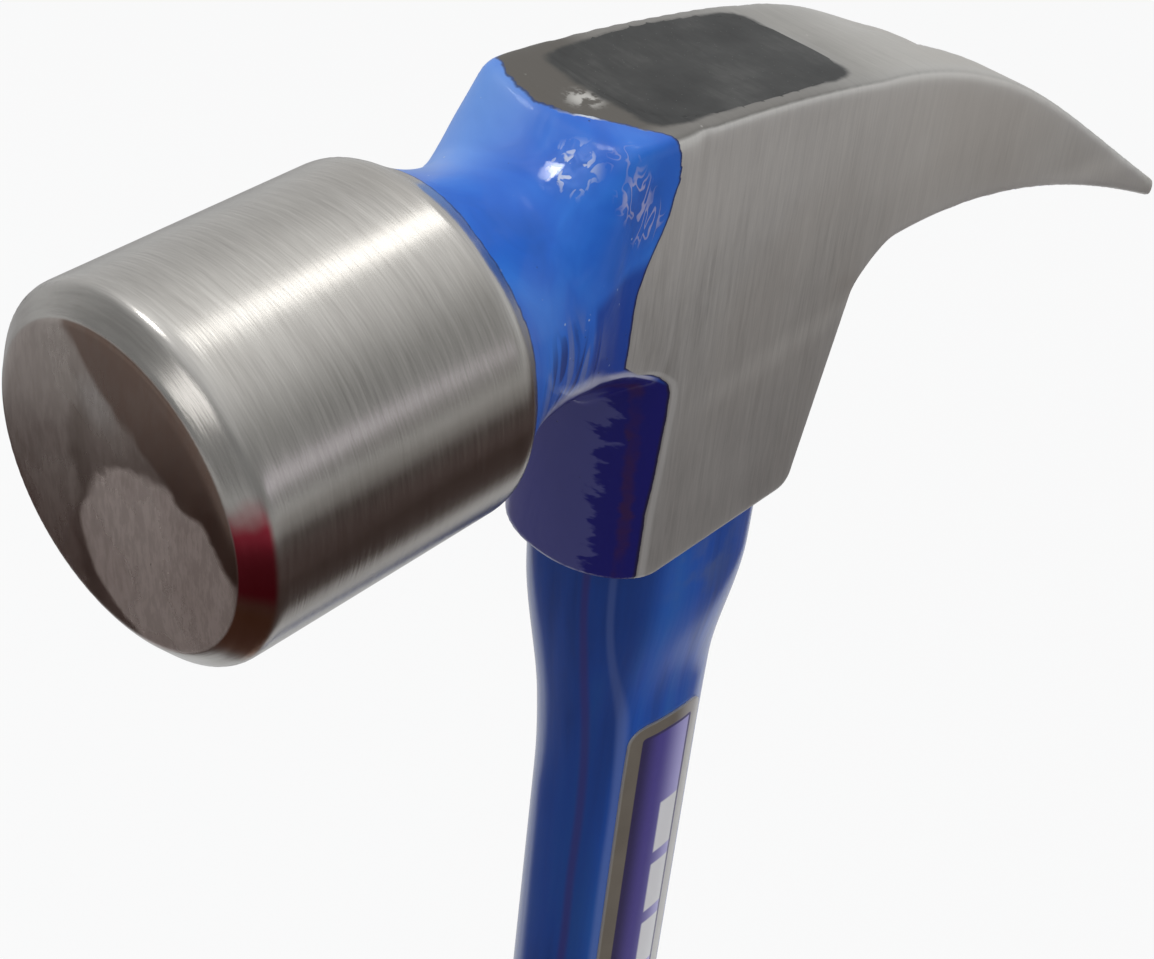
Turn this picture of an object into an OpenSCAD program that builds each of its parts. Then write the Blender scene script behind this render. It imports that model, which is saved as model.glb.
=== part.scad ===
// Framing hammer: forged rip-claw head bonded to a jacketed fibreglass handle.
// Origin at the centre of the butt, +Z up the handle, poll towards -X, claws towards +X.

/* [Poll] */
// Height of the poll's axis above the butt
poll_axis_h = 390; // [340:1:430]
// Distance from the handle's axis to the middle of the striking face
face_reach = 70.6; // [67:0.1:75]
// Radius of the poll's ground band
bell_r = 17; // [15.5:0.25:18.5]
// Length of the poll from its face to the rear edge of the ground band
bell_l = 29.9; // [26:0.1:32]
// Radius of the striking disc inside its bevel
face_r = 14.5; // [13:0.25:15]
// How far the middle of the disc stands proud of its edge
crown_h = 0.45; // [0.2:0.05:1]
// Length of the bevel along the poll
bevel_l = 2.15; // [1.4:0.05:3]

/* [Neck] */
// Distance from the handle's axis to the narrowest part of the neck
waist_reach = 28.4; // [27:0.1:30]
// Half width of the neck at its waist
waist_half_w = 11.8; // [11:0.1:12.4]
// Half height of the neck at its waist
waist_half_h = 12.3; // [11.5:0.1:13]
// Depth of the neck's underside below the poll's axis where it meets the skirt
lip_drop = 17; // [15:0.25:20]

/* [Eye block] */
// Width over the two ground cheeks
cheek_w = 19.2; // [18.2:0.1:22]
// Height of the top above the poll's axis, over the handle's axis
top_h = 13.4; // [12.5:0.1:15]
// Fall of the top towards the claws, per unit of length
top_slope = 0.175; // [0.1:0.005:0.2]
// Distance from the handle's axis to the front of the skirt
skirt_front = 16.8; // [16:0.1:18]
// Distance from the handle's axis back to the cheek's front edge
cheek_front = 11.8; // [10.5:0.1:12.5]
// Distance from the handle's axis to the front of the top
brow_front = 20.4; // [19:0.1:21.5]
// Depth of the skirt's end below the poll's axis
skirt_drop = 38.6; // [34:0.1:44]
// Distance from the handle's axis to the rear of the skirt at its end
skirt_rear = 12.4; // [11.6:0.1:13]
// Distance from the handle's axis to the rear of the block under the claws
block_rear = 17.4; // [16.5:0.1:19]

/* [Claws] */
// Distance from the handle's axis to the claw tips
claw_reach = 68.2; // [60:0.1:76]
// Drop of the claw tips below the poll's axis
claw_drop = 20.4; // [14:0.1:25]
// Depth of the claws' root under the poll's axis
claw_root_drop = 11.4; // [9:0.1:12.5]
// Thickness of a claw at its tip
tip_t = 1.2; // [0.8:0.1:2]
// Width over both claw tips
claw_w = 33; // [28:0.5:38]
// Width of the nail slot between the tips
slot_mouth_w = 13; // [11:0.25:15]
// Width of the nail slot at its root
slot_root_w = 1.8; // [1.2:0.1:2.6]
// Length of the nail slot
slot_l = 37; // [32:0.5:40]
// Width of the bevel along each edge of the nail slot
slot_bevel = 1.6; // [0.8:0.1:2]
// Radius of the bend between the claws' underside and the rear of the block
root_round = 4.5; // [3:0.1:5.5]

/* [Eye] */
// Length of the eye's mouth in the top
eye_l = 28.8; // [26:0.1:29.4]
// Width of the eye's mouth in the top
eye_w = 15.4; // [14.4:0.1:15.8]
// Narrowing of the eye from each end to its waist, on each side
eye_pinch = 0.9; // [0.4:0.05:1.2]

/* [Handle] */
// Length of the core's oval section
core_l = 19.4; // [18:0.1:20.2]
// Width of the core's oval section
core_w = 10.6; // [9.6:0.1:11.2]
// Depth of the core's top end below the top of the head
core_sunk = 3; // [2:0.1:5]
// Length of the jacket's section along the shaft
shaft_l = 21.8; // [21:0.1:24]
// Width of the jacket's section along the shaft
shaft_w = 14.2; // [13.2:0.1:15.4]
// Reach of the jacket's shoulder towards the poll
shoulder_front = 14.4; // [13.4:0.1:15.2]
// Reach of the jacket's shoulder towards the claws
shoulder_rear = 12.3; // [11.4:0.1:12.4]
// Width of the jacket's shoulder
shoulder_w = 18.2; // [16.4:0.1:18.6]
// Height of the shoulder's flare on the poll side
flare_front_h = 40; // [30:0.5:50]
// Height of the shoulder's flare on the claw side
flare_rear_h = 25; // [18:0.5:32]
// Height over which the shoulder keeps its full size under the head
shoulder_hold_h = 7; // [0:0.5:12]
// Height of the seal round the core at the eye's lower end
seal_h = 4; // [2:0.1:6]

/* [Labels] */
// Width of each label
label_w = 12.6; // [11:0.1:14.5]
// Height of each label
label_h = 104; // [80:1:115]
// Thickness of each label
label_t = 0.25; // [0.15:0.05:0.5]
// Distance from the skirt's end down to the label's top
label_drop = 29.6; // [26:0.1:34]

/* [Grip] */
// Length of the grip
grip_l = 155; // [135:1:165]
// Thickness of the grip under the core's end
grip_floor = 7; // [4:0.25:10]
// Length of the grip's section at the palm
grip_section_l = 32; // [30:0.25:36]
// Width of the grip's section at the palm
grip_section_w = 25; // [23:0.25:28]
// Length of the flared butt
butt_l = 42; // [38:0.25:46]
// Width of the flared butt
butt_w = 31; // [28:0.25:34]
// Radius of the rounding round the butt's foot
butt_round = 3; // [2:0.1:4]
// Number of finger grooves across the grip's sides
groove_count = 9; // [5:1:12]
// Depth of each finger groove
groove_depth = 0.8; // [0.4:0.05:1.2]
// Width of each finger groove
groove_w = 3; // [2:0.1:4]

/* [Hidden] */
// Running gap between pieces that are slipped or bonded together
fit_gap = 0.05;
// Overrun of a cut past the face it opens
over = 1;
// Points round a section, and steps along an arc or a bend
ring_n = 48;
grip_n = 32;
turn_n = 96;
arc_n = 10;
bend_n = 14;
// Curvature of the top along the head
top_bend = 0.0023;
cheek_half = cheek_w / 2;
bell_rear = face_reach - bell_l;
swell_l = bell_rear - waist_reach;
eye_z = poll_axis_h - skirt_drop;
claw_half = claw_w / 2;
claw_from = block_rear - tip_t;
eye_half_w = eye_w / 2;
core_top = poll_axis_h + top_h - core_sunk;
shaft_half = [shaft_l / 2, shaft_w / 2];
shoulder_half_w = shoulder_w / 2;
// Roundness of each section: 2 is an ellipse, and larger numbers are squarer
shaft_round = 2.4;
shoulder_squareness = 2.8;
core_squareness = 2.4;
eye_squareness = 3.6;
nose_squareness = 2;
waist_squareness = 2.2;
cheek_squareness = 24;
lip_squareness = 4;
grip_squareness = 2.5;
// How late the neck's underside drops to its lip
lip_power = 2.6;
// Rear walls left round the eye's foot
foot_wall = 2.6;
eye_waist_share = 0.55;

function lerp(a, b, s) = a + (b - a) * s;
function ease(s) = let (c = min(1, max(0, s))) c * c * (3 - 2 * c);
function spow(v, e) = sign(v) * pow(abs(v), e);
function bezier(a, b, c, d, n) =
    [for (i = [0:n]) let (t = i / n, u = 1 - t)
        u * u * u * a + 3 * u * u * t * b + 3 * u * t * t * c + t * t * t * d];
function arc(centre, r, from, to, n) =
    [for (i = [0:n]) centre + r * [cos(lerp(from, to, i / n)), sin(lerp(from, to, i / n))]];
// One point of a rounded outline whose four reaches and squareness are given
function oval_point(front, rear, half_w, e, t) =
    [(cos(t) < 0 ? front : rear) * spow(cos(t), 2 / e), half_w * spow(sin(t), 2 / e)];
function oval(front, rear, half_w, e, n = ring_n) =
    [for (i = [0:n - 1]) oval_point(front, rear, half_w, e, 360 * (i + 0.5) / n)];
function at_height(outline, z) = [for (p = outline) [p[0], p[1], z]];

// Closed skin through a stack of outlines that have the same number of points
module loft(rings) {
    n = len(rings[0]);
    last = len(rings) - 1;
    sides = [for (j = [0:last - 1], i = [0:n - 1])
        let (a = j * n + i, b = j * n + (i + 1) % n)
        each [[a, a + n, b + n], [a, b + n, b]]];
    foot = [for (i = [0:n - 1]) i];
    crown = [for (i = [n - 1:-1:0]) last * n + i];
    polyhedron(points = [for (r = rings) each r], faces = concat([foot, crown], sides), convexity = 6);
}

// Height of the head's top above the poll's axis
function top_z(x) = top_h - top_slope * x - top_bend * x * x;

// Side outline of the claws, as shares of their reach and of their fall
claw_top_shares = [[0.383, 0.107], [0.728, 0.615]];
claw_under_shares = [[0.33, 0.68], [0.66, 0.98]];
tip_top = [claw_reach, -claw_drop + tip_t / 2];
tip_under = [claw_reach - tip_t / 2, -claw_drop - tip_t / 2];
claw_top_from = [claw_from, top_z(claw_from)];
root_reach_share = 1.35;
root_reach = block_rear + root_round * root_reach_share;
claw_root = [root_reach, -claw_root_drop];
rear_top = [block_rear, -claw_root_drop - root_round];
skirt_corner_share = 0.85;
skirt_corner_r = foot_wall * skirt_corner_share;
function between(a, b, shares) = [lerp(a[0], b[0], shares[0]), lerp(a[1], b[1], shares[1])];
claw_top = bezier(claw_top_from, between(claw_top_from, tip_top, claw_top_shares[0]),
    between(claw_top_from, tip_top, claw_top_shares[1]), tip_top, bend_n);
claw_under = bezier(tip_under, between(tip_under, claw_root, claw_under_shares[0]),
    between(tip_under, claw_root, claw_under_shares[1]), claw_root, bend_n);
root_corner = [block_rear, -claw_root_drop];
root_pull_share = 0.3;
root_bend = bezier(claw_root, lerp(claw_root, root_corner, root_pull_share),
    lerp(rear_top, root_corner, root_pull_share), rear_top, arc_n);
skirt_corner = arc([skirt_rear - skirt_corner_r, -skirt_drop + skirt_corner_r],
    skirt_corner_r, 0, -90, arc_n);
block_top = [for (i = [0:arc_n]) let (x = lerp(-skirt_front, claw_from, i / arc_n)) [x, top_z(x)]];
head_side = concat(block_top, claw_top, claw_under, root_bend, skirt_corner, [[-skirt_front, -skirt_drop]]);

// Plan of the eye block and the claws: rounded nose, flat cheeks, spreading claws and the nail slot
nose_share = 0.85;
nose_from = cheek_front * nose_share;
flare_from = claw_from + root_round;
flare_power = 2.3;
tip_corner_share = 1.4;
tip_corner_r = tip_t * tip_corner_share;
slot_root = claw_reach - slot_l;
slot_half = slot_mouth_w / 2;
slot_root_r = slot_root_w / 2;
function claw_edge(x) =
    cheek_half + (claw_half - cheek_half) * pow((x - flare_from) / (claw_reach - flare_from), flare_power);
nose = [for (i = [0:arc_n]) let (t = 180 - 90 * i / arc_n)
    [-nose_from, 0] + oval_point(skirt_front - nose_from, 0, cheek_half, nose_squareness, t)];
cheek_edge = [for (i = [0:bend_n]) let (x = lerp(flare_from, claw_reach - tip_corner_r, i / bend_n))
    [x, claw_edge(x)]];
tip_corner = arc([claw_reach - tip_corner_r, claw_half - tip_corner_r], tip_corner_r, 90, 0, arc_n);
slot_inner_corner = arc([claw_reach - tip_corner_r, slot_half + tip_corner_r], tip_corner_r, 0, -90, arc_n);
slot_root_bend = arc([slot_root + slot_root_r, 0], slot_root_r, 90, 180, arc_n);
half_plan = concat(nose, cheek_edge, tip_corner, slot_inner_corner, slot_root_bend);
function mirrored(points) = [for (i = [len(points) - 2:-1:1]) [points[i][0], -points[i][1]]];
head_plan = concat(half_plan, mirrored(half_plan));

// Poll, turned about its axis: crowned disc, bevel, ground band and rounded rear
crown_r = (face_r * face_r + crown_h * crown_h) / (2 * crown_h);
// Radius gained over the waist at a share of the way from the poll's band to the waist
swell_power = 1.8;
bell_half = (waist_half_w + waist_half_h) / 2;
function swell(s) = (bell_r - bell_half) * pow(1 - s, swell_power);
bell_tail_share = 0.36;
poll_outline = concat(
    [for (i = [0:arc_n]) let (r = face_r * i / arc_n)
        [r, -face_reach + crown_r - sqrt(crown_r * crown_r - r * r)]],
    [[bell_r, -face_reach + crown_h + bevel_l]],
    [for (i = [0:arc_n]) let (s = bell_tail_share * i / arc_n)
        [bell_half + swell(s), -bell_rear + swell_l * s]],
    [[0, -bell_rear + swell_l * bell_tail_share]]);
module poll() {
    rotate([0, 90, 0]) rotate_extrude($fn = turn_n) polygon(poll_outline);
}

// Neck from the poll's rear through its waist to the brow of the eye block
neck_swell_shares = [0.2, 0.33, 0.45, 0.6, 0.8, 1];
// Shares of the way from the waist to the brow, of the change in section, and of the corners' squareness
neck_flare_shares = [[0.25, 0.06, 0.06], [0.5, 0.33, 0.2], [0.72, 0.64, 0.38], [0.88, 0.9, 0.55],
    [1, 1, 0.75], [1.18, 1, 0.95], [1.4, 1, 1]];
neck_join = -cheek_front;
function neck_ring(x, half_w, up, down, upper_e, lower_e) = [for (i = [0:ring_n - 1])
    let (t = 360 * (i + 0.5) / ring_n, e = sin(t) > 0 ? upper_e : lower_e)
    [x, half_w * spow(cos(t), 2 / e), (sin(t) > 0 ? up : down) * spow(sin(t), 2 / e)]];
neck_rings = concat(
    [for (s = neck_swell_shares) let (grow = swell(s))
        neck_ring(-bell_rear + swell_l * s, waist_half_w + grow, waist_half_h + grow, waist_half_h + grow,
            waist_squareness, waist_squareness)],
    [for (s = neck_flare_shares)
        let (x = lerp(-waist_reach, -brow_front, s[0]), wide = min(1, s[1]),
            under = min(1, max(0, (waist_reach + x) / (waist_reach - skirt_front))))
        neck_ring(x, lerp(waist_half_w, cheek_half, wide), lerp(waist_half_h, top_z(x), wide),
            lerp(waist_half_h, lip_drop, pow(under, lip_power)),
            waist_squareness * pow(cheek_squareness / waist_squareness, s[2]),
            lerp(waist_squareness, lip_squareness, wide))],
    [neck_ring(neck_join, cheek_half, top_z(neck_join), lip_drop, cheek_squareness, lip_squareness)]);
module neck() {
    loft(neck_rings);
}

module block_and_claws() {
    intersection() {
        rotate([90, 0, 0]) linear_extrude(claw_w + over, center = true) polygon(head_side);
        translate([0, 0, -skirt_drop - over]) linear_extrude(skirt_drop + poll_axis_h) polygon(head_plan);
    }
}

// Eye through the block, narrowest below the poll's axis, its foot drawn in to follow the skirt
module eye(from, to, gap) {
    foot = -skirt_drop;
    waist = lerp(foot, top_h, eye_waist_share);
    heights = [from, foot, waist, top_h, to];
    function draw(z) = z <= waist ? (z - foot) / (waist - foot) : (top_h - z) / (top_h - waist);
    function reach_at(z, low, high) = lerp(low, high, min(1, max(0, (z - foot) / (top_h - foot))));
    loft([for (z = heights) if (z == from || z == to || (z > from && z < to))
        let (pinch = eye_pinch * min(1, max(0, draw(z))))
        at_height(oval(reach_at(z, skirt_front - foot_wall, eye_l / 2) - pinch - gap,
            reach_at(z, skirt_rear - foot_wall, eye_l / 2) - pinch - gap,
            eye_half_w - pinch - gap, eye_squareness), z)]);
}

// Bevel along the slot's two edges, on the claws' top or underside
bevel_share = 0.45;
function slot_half_at(x) = lerp(slot_root_r, slot_half, (x - slot_root) / slot_l);
module slot_bevel_cut(edge, side) {
    rings = [for (p = edge) if (p[0] > slot_root + slot_root_r)
        let (half = slot_half_at(p[0]), thick = lerp(root_round, tip_t, (p[0] - slot_root) / slot_l),
            deep = min(slot_bevel, thick * bevel_share), wide = half + slot_bevel * (deep + over) / deep)
        [[p[0], side * half, p[1] - side * deep], [p[0], side * wide, p[1] + side * over],
            [p[0], -side * wide, p[1] + side * over], [p[0], -side * half, p[1] - side * deep]]];
    loft(rings);
}

module head() {
    color([0.6, 0.59, 0.57])
    translate([0, 0, poll_axis_h])
    difference() {
        union() {
            poll();
            neck();
            block_and_claws();
        }
        eye(-skirt_drop - over, top_h + top_slope * skirt_front + over, 0);
        slot_bevel_cut(claw_top, 1);
        slot_bevel_cut([for (i = [len(claw_under) - 1:-1:0]) claw_under[i]], -1);
    }
}

module core_section(gap) {
    polygon(oval(core_l / 2 + gap, core_l / 2 + gap, core_w / 2 + gap, core_squareness));
}

module core_rod() {
    color([0.86, 0.83, 0.68])
    translate([0, 0, grip_floor]) linear_extrude(core_top - grip_floor) core_section(0);
}

module eye_epoxy() {
    color([0.12, 0.12, 0.13])
    translate([0, 0, poll_axis_h])
    difference() {
        intersection() {
            eye(-skirt_drop + seal_h, top_h + top_slope * skirt_front + over, fit_gap);
            rotate([90, 0, 0]) linear_extrude(cheek_w, center = true)
                polygon(concat([for (p = block_top) p - [0, fit_gap]],
                    [[claw_from, -skirt_drop], [-skirt_front, -skirt_drop]]));
        }
        translate([0, 0, -skirt_drop]) linear_extrude(core_top - eye_z) core_section(fit_gap);
    }
}

module eye_seal() {
    color([0.2, 0.2, 0.2])
    translate([0, 0, poll_axis_h])
    difference() {
        eye(-skirt_drop, -skirt_drop + seal_h, fit_gap);
        translate([0, 0, -skirt_drop - over]) linear_extrude(seal_h + 2 * over) core_section(fit_gap);
    }
}

// Jacket: an even oval along the shaft that flares into the shoulder under the head
flare_side_share = 1.05;
flare_side_h = flare_rear_h * flare_side_share;
function shoulder_share(z, flare_h, hold_h) = ease((z - eye_z + flare_h) / (flare_h - hold_h));
function jacket_outline(z, gap) =
    oval(lerp(shaft_half[0], shoulder_front, shoulder_share(z, flare_front_h, 0)) + gap,
        lerp(shaft_half[0], shoulder_rear, shoulder_share(z, flare_rear_h, shoulder_hold_h)) + gap,
        lerp(shaft_half[1], shoulder_half_w, shoulder_share(z, flare_side_h, shoulder_hold_h)) + gap,
        lerp(shaft_round, shoulder_squareness, shoulder_share(z, flare_front_h, 0)));
flare_heights = [for (i = [0:bend_n]) lerp(eye_z - flare_front_h, eye_z, i / bend_n)];
module jacket_body(foot, gap) {
    loft([for (z = concat([foot], flare_heights)) at_height(jacket_outline(z, gap), z)]);
}
module jacket() {
    color([0.05, 0.22, 0.6])
    difference() {
        jacket_body(grip_floor, 0);
        translate([0, 0, grip_floor - over]) linear_extrude(eye_z - grip_floor + 2 * over)
            core_section(fit_gap);
    }
}

// Labels wrap the jacket's two broad sides
label_corner_share = 0.2;
label_corner_r = label_w * label_corner_share;
label_top = eye_z - label_drop;
module label_outline() {
    inner = [label_w / 2 - label_corner_r, label_h / 2 - label_corner_r];
    polygon(concat(arc(inner, label_corner_r, 0, 90, arc_n),
        arc([-inner[0], inner[1]], label_corner_r, 90, 180, arc_n),
        arc(-inner, label_corner_r, 180, 270, arc_n),
        arc([inner[0], -inner[1]], label_corner_r, 270, 360, arc_n)));
}
module label(side) {
    difference() {
        intersection() {
            jacket_body(grip_floor, label_t);
            translate([0, 0, label_top - label_h / 2]) rotate([side * 90, 0, 0])
                linear_extrude(shoulder_w) label_outline();
        }
        jacket_body(grip_floor - over, 0);
    }
}
module label_left() {
    color([0.2, 0.2, 0.62]) label(1);
}
module label_right() {
    color([0.2, 0.2, 0.62]) label(-1);
}

// Grip: flared butt, hollow behind it, palm swell and a thin collar round the jacket
grip_shares = [[0.018, 0, 1], [0.1, 0.2, 1], [0.24, 0.86, 1], [0.38, 1.12, 1], [0.56, 1, 1],
    [0.74, 1, 0.86], [0.9, 1, 0.5], [0.97, 1, 0.25], [1, 1, 0.12]];
function grip_half(axis, s) =
    let (butt = (axis == 0 ? butt_l : butt_w) / 2, palm = (axis == 0 ? grip_section_l : grip_section_w) / 2)
    lerp(shaft_half[axis], lerp(butt, palm, s[1]), s[2]);
function grip_outline(s, inset) = oval(grip_half(0, s) - inset, grip_half(0, s) - inset,
    grip_half(1, s) - inset, grip_squareness, grip_n);
groove_shares = [0.3, 0.86];
module grooves() {
    for (i = [0:groove_count - 1]) {
        z = grip_l * lerp(groove_shares[0], groove_shares[1], i / (groove_count - 1));
        s = grip_share_at(z / grip_l);
        translate([0, 0, z - groove_w / 2]) linear_extrude(groove_w) difference() {
            polygon(grip_outline(s, -groove_w));
            polygon(grip_outline(s, groove_depth));
        }
    }
}
// Row of the grip's table at any share of its length
function grip_share_at(h) =
    let (k = [for (i = [1:len(grip_shares) - 1]) if (h <= grip_shares[i][0]) i][0],
        a = grip_shares[k - 1], b = grip_shares[k])
    lerp(a, b, (h - a[0]) / (b[0] - a[0]));
foot_steps = 4;
module grip() {
    foot_rings = [for (i = [0:foot_steps - 1]) let (t = 90 * i / foot_steps)
        at_height(grip_outline(grip_shares[0], butt_round * (1 - sin(t))), butt_round * (1 - cos(t)))];
    body_rings = [for (s = grip_shares) at_height(grip_outline(s, 0), max(butt_round, s[0] * grip_l))];
    color([0.1, 0.1, 0.11])
    difference() {
        loft(concat(foot_rings, body_rings));
        grooves();
        translate([0, 0, grip_floor]) linear_extrude(grip_l)
            polygon(oval(shaft_half[0] + fit_gap, shaft_half[0] + fit_gap, shaft_half[1] + fit_gap,
                shaft_round));
    }
}

head();
eye_epoxy();
eye_seal();
core_rod();
jacket();
label_left();
label_right();
grip();
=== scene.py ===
"""Framing hammer: the forged head, its bonded handle and a plain studio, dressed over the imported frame."""

import math

import bpy
import numpy as np
from bpy.props import FloatProperty, FloatVectorProperty, IntProperty, PointerProperty
from mathutils import Matrix, Vector


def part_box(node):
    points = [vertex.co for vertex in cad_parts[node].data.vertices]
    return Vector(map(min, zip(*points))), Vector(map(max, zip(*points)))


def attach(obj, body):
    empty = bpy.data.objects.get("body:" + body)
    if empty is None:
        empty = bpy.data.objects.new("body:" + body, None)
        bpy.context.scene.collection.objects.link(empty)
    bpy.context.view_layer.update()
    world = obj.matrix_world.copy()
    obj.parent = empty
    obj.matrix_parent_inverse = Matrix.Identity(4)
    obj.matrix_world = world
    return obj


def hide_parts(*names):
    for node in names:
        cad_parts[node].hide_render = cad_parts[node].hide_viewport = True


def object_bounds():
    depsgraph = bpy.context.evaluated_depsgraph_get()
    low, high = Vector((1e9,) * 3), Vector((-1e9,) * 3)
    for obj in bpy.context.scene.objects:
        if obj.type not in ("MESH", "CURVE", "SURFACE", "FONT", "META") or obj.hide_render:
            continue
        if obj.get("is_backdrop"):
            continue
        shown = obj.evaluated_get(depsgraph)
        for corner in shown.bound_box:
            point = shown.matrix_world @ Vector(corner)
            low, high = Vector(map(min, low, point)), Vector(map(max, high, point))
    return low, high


bl_info = {
    "name": "Framing Hammer Finish",
    "version": (1, 0, 0),
    "blender": (4, 5, 0),
    "location": "3D View > Sidebar > Hammer",
    "description": "Builds a framing hammer's head, jacket, labels, grip and studio",
    "category": "Object",
}

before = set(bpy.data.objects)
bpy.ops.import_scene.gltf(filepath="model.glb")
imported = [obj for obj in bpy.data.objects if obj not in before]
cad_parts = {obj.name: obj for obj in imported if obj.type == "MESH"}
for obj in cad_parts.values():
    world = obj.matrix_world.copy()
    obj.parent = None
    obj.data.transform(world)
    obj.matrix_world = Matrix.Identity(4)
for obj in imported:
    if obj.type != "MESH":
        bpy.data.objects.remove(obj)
CAD_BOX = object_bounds()
MM = 0.001
LOW, HIGH = 0, 1
X, Y, Z = 0, 1, 2


def box_side(node, corner, axis):
    """One side of a node's box in the frame, in millimetres to the nearest tenth"""
    return round(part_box(node)[corner][axis] / MM, 1)


# Settings that a user would change


class HammerHeadSizes(bpy.types.PropertyGroup):
    """Sizes of the forged head's edges, and how finely its skin is drawn"""

    grid_step: FloatProperty(
        name="Grid step", description="Spacing of the grid that the head's skin is drawn from",
        default=0.00048, min=0.0004, max=0.002, unit="LENGTH", precision=5)
    edge_round: IntProperty(
        name="Edge rounding", description="Passes of smoothing over forged edges",
        default=1, min=0, max=12)
    face_round: FloatProperty(
        name="Face rounding", description="Rounding where the face meets its bevel",
        default=0.0005, min=0.0001, max=0.002, unit="LENGTH", precision=5)
    slot_bevel: FloatProperty(
        name="Slot bevel", description="Bevel along the nail slot",
        default=0.0015, min=0.0002, max=0.003, unit="LENGTH", precision=5)


class HammerGripSizes(bpy.types.PropertyGroup):
    """Sizes of the rubber grip's grooves"""

    groove_count: IntProperty(
        name="Grooves", description="Number of finger grooves", default=9, min=1, max=20)
    groove_depth: FloatProperty(
        name="Groove depth", description="Depth of each groove",
        default=0.0008, min=0.0, max=0.002, unit="LENGTH", precision=5)
    groove_width: FloatProperty(
        name="Groove width", description="Width of each groove",
        default=0.003, min=0.001, max=0.006, unit="LENGTH", precision=5)
    groove_low: FloatProperty(
        name="Lowest groove", description="Height of the lowest groove",
        default=0.0465, min=0.02, max=0.1, unit="LENGTH", precision=5)
    groove_high: FloatProperty(
        name="Highest groove", description="Height of the highest groove",
        default=0.1333, min=0.1, max=0.15, unit="LENGTH", precision=5)


class HammerColours(bpy.types.PropertyGroup):
    """Colours of the finishes"""

    paint: FloatVectorProperty(
        name="Enamel", description="Blue enamel on the neck",
        subtype="COLOR", size=3, default=(0.016, 0.148, 0.69))
    steel: FloatVectorProperty(
        name="Steel", description="Ground steel",
        subtype="COLOR", size=3, default=(0.56, 0.545, 0.515))
    jacket: FloatVectorProperty(
        name="Jacket", description="Moulded blue jacket",
        subtype="COLOR", size=3, default=(0.0015, 0.095, 0.52))
    label_field: FloatVectorProperty(
        name="Label field", description="Field of the labels",
        subtype="COLOR", size=3, default=(0.075, 0.055, 0.36))
    label_border: FloatVectorProperty(
        name="Label border", description="Border of the labels",
        subtype="COLOR", size=3, default=(0.3, 0.27, 0.22))
    rubber: FloatVectorProperty(
        name="Grip", description="Rubber of the grip",
        subtype="COLOR", size=3, default=(0.012, 0.012, 0.013))


class HammerStudio(bpy.types.PropertyGroup):
    """Light and camera"""

    lamp_power: FloatProperty(
        name="Lamps", description="Strength of the soft lamps", default=1.0, min=0.1, max=4.0)
    room_light: FloatProperty(
        name="Room", description="Strength of the light from all round", default=1.0, min=0.0, max=2.0)
    focal: FloatProperty(
        name="Lens", description="Focal length of the camera in millimetres",
        default=72.089, min=20, max=200)


GROUPS = {
    "hammer_head": HammerHeadSizes,
    "hammer_grip": HammerGripSizes,
    "hammer_colours": HammerColours,
    "hammer_studio": HammerStudio,
}


# Node trees, written as expressions


class Socket:
    """A node's output that adds Math nodes as it is used in an expression"""

    def __init__(self, nodes, out):
        self.nodes, self.out = nodes, out

    def beside(self, key):
        """Another output of the same node"""
        return Socket(self.nodes, self.out.node.outputs[key])

    def _math(self, operation, *values):
        return self.nodes.add("ShaderNodeMath", {"operation": operation}, values)

    def __add__(self, other):
        return self._math("ADD", self, other)

    def __sub__(self, other):
        return self._math("SUBTRACT", self, other)

    def __rsub__(self, other):
        return self._math("SUBTRACT", other, self)

    def __mul__(self, other):
        return self._math("MULTIPLY", self, other)

    def __truediv__(self, other):
        return self._math("DIVIDE", self, other)

    def __rtruediv__(self, other):
        return self._math("DIVIDE", other, self)

    def __pow__(self, other):
        return self._math("POWER", self, other)

    def __rpow__(self, other):
        return self._math("POWER", other, self)

    def __abs__(self):
        return self._math("ABSOLUTE", self)

    def __round__(self):
        return self._math("ROUND", self)

    def low(self, other):
        return self._math("MINIMUM", self, other)

    def high(self, other):
        return self._math("MAXIMUM", self, other)

    __radd__ = __add__
    __rmul__ = __mul__


class Nodes:
    """The nodes of a material, of the world or of a Geometry Nodes tree"""

    def __init__(self, tree):
        self.tree = tree
        tree.nodes.clear()

    def add(self, kind, settings=None, inputs=(), output=0):
        """A node of one kind: its settings first, then the values or links of its sockets"""
        node = self.tree.nodes.new(kind)
        for name, value in (settings or {}).items():
            if name == "stops":
                self._set_stops(node.color_ramp, value)
            else:
                setattr(node, name, value)
        for key, value in inputs.items() if isinstance(inputs, dict) else enumerate(inputs):
            if isinstance(value, Socket):
                self.tree.links.new(value.out, node.inputs[key])
            else:
                node.inputs[key].default_value = value
        return Socket(self, node.outputs[output]) if node.outputs else None

    @staticmethod
    def _set_stops(ramp, stops):
        while len(ramp.elements) < len(stops):
            ramp.elements.new(1.0)
        for element, (place, colour) in zip(ramp.elements, stops):
            element.position = place
            element.color = (*colour, 1.0)

    def step(self, value, low, high, to_low=0.0, to_high=1.0):
        """A smooth step from low to high"""
        inputs = {"Value": value, "From Min": low, "From Max": high, "To Min": to_low, "To Max": to_high}
        return self.add("ShaderNodeMapRange", {"interpolation_type": "SMOOTHSTEP"}, inputs, "Result")

    def vector_math(self, operation, *values, output="Vector"):
        return self.add("ShaderNodeVectorMath", {"operation": operation}, values, output)


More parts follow.
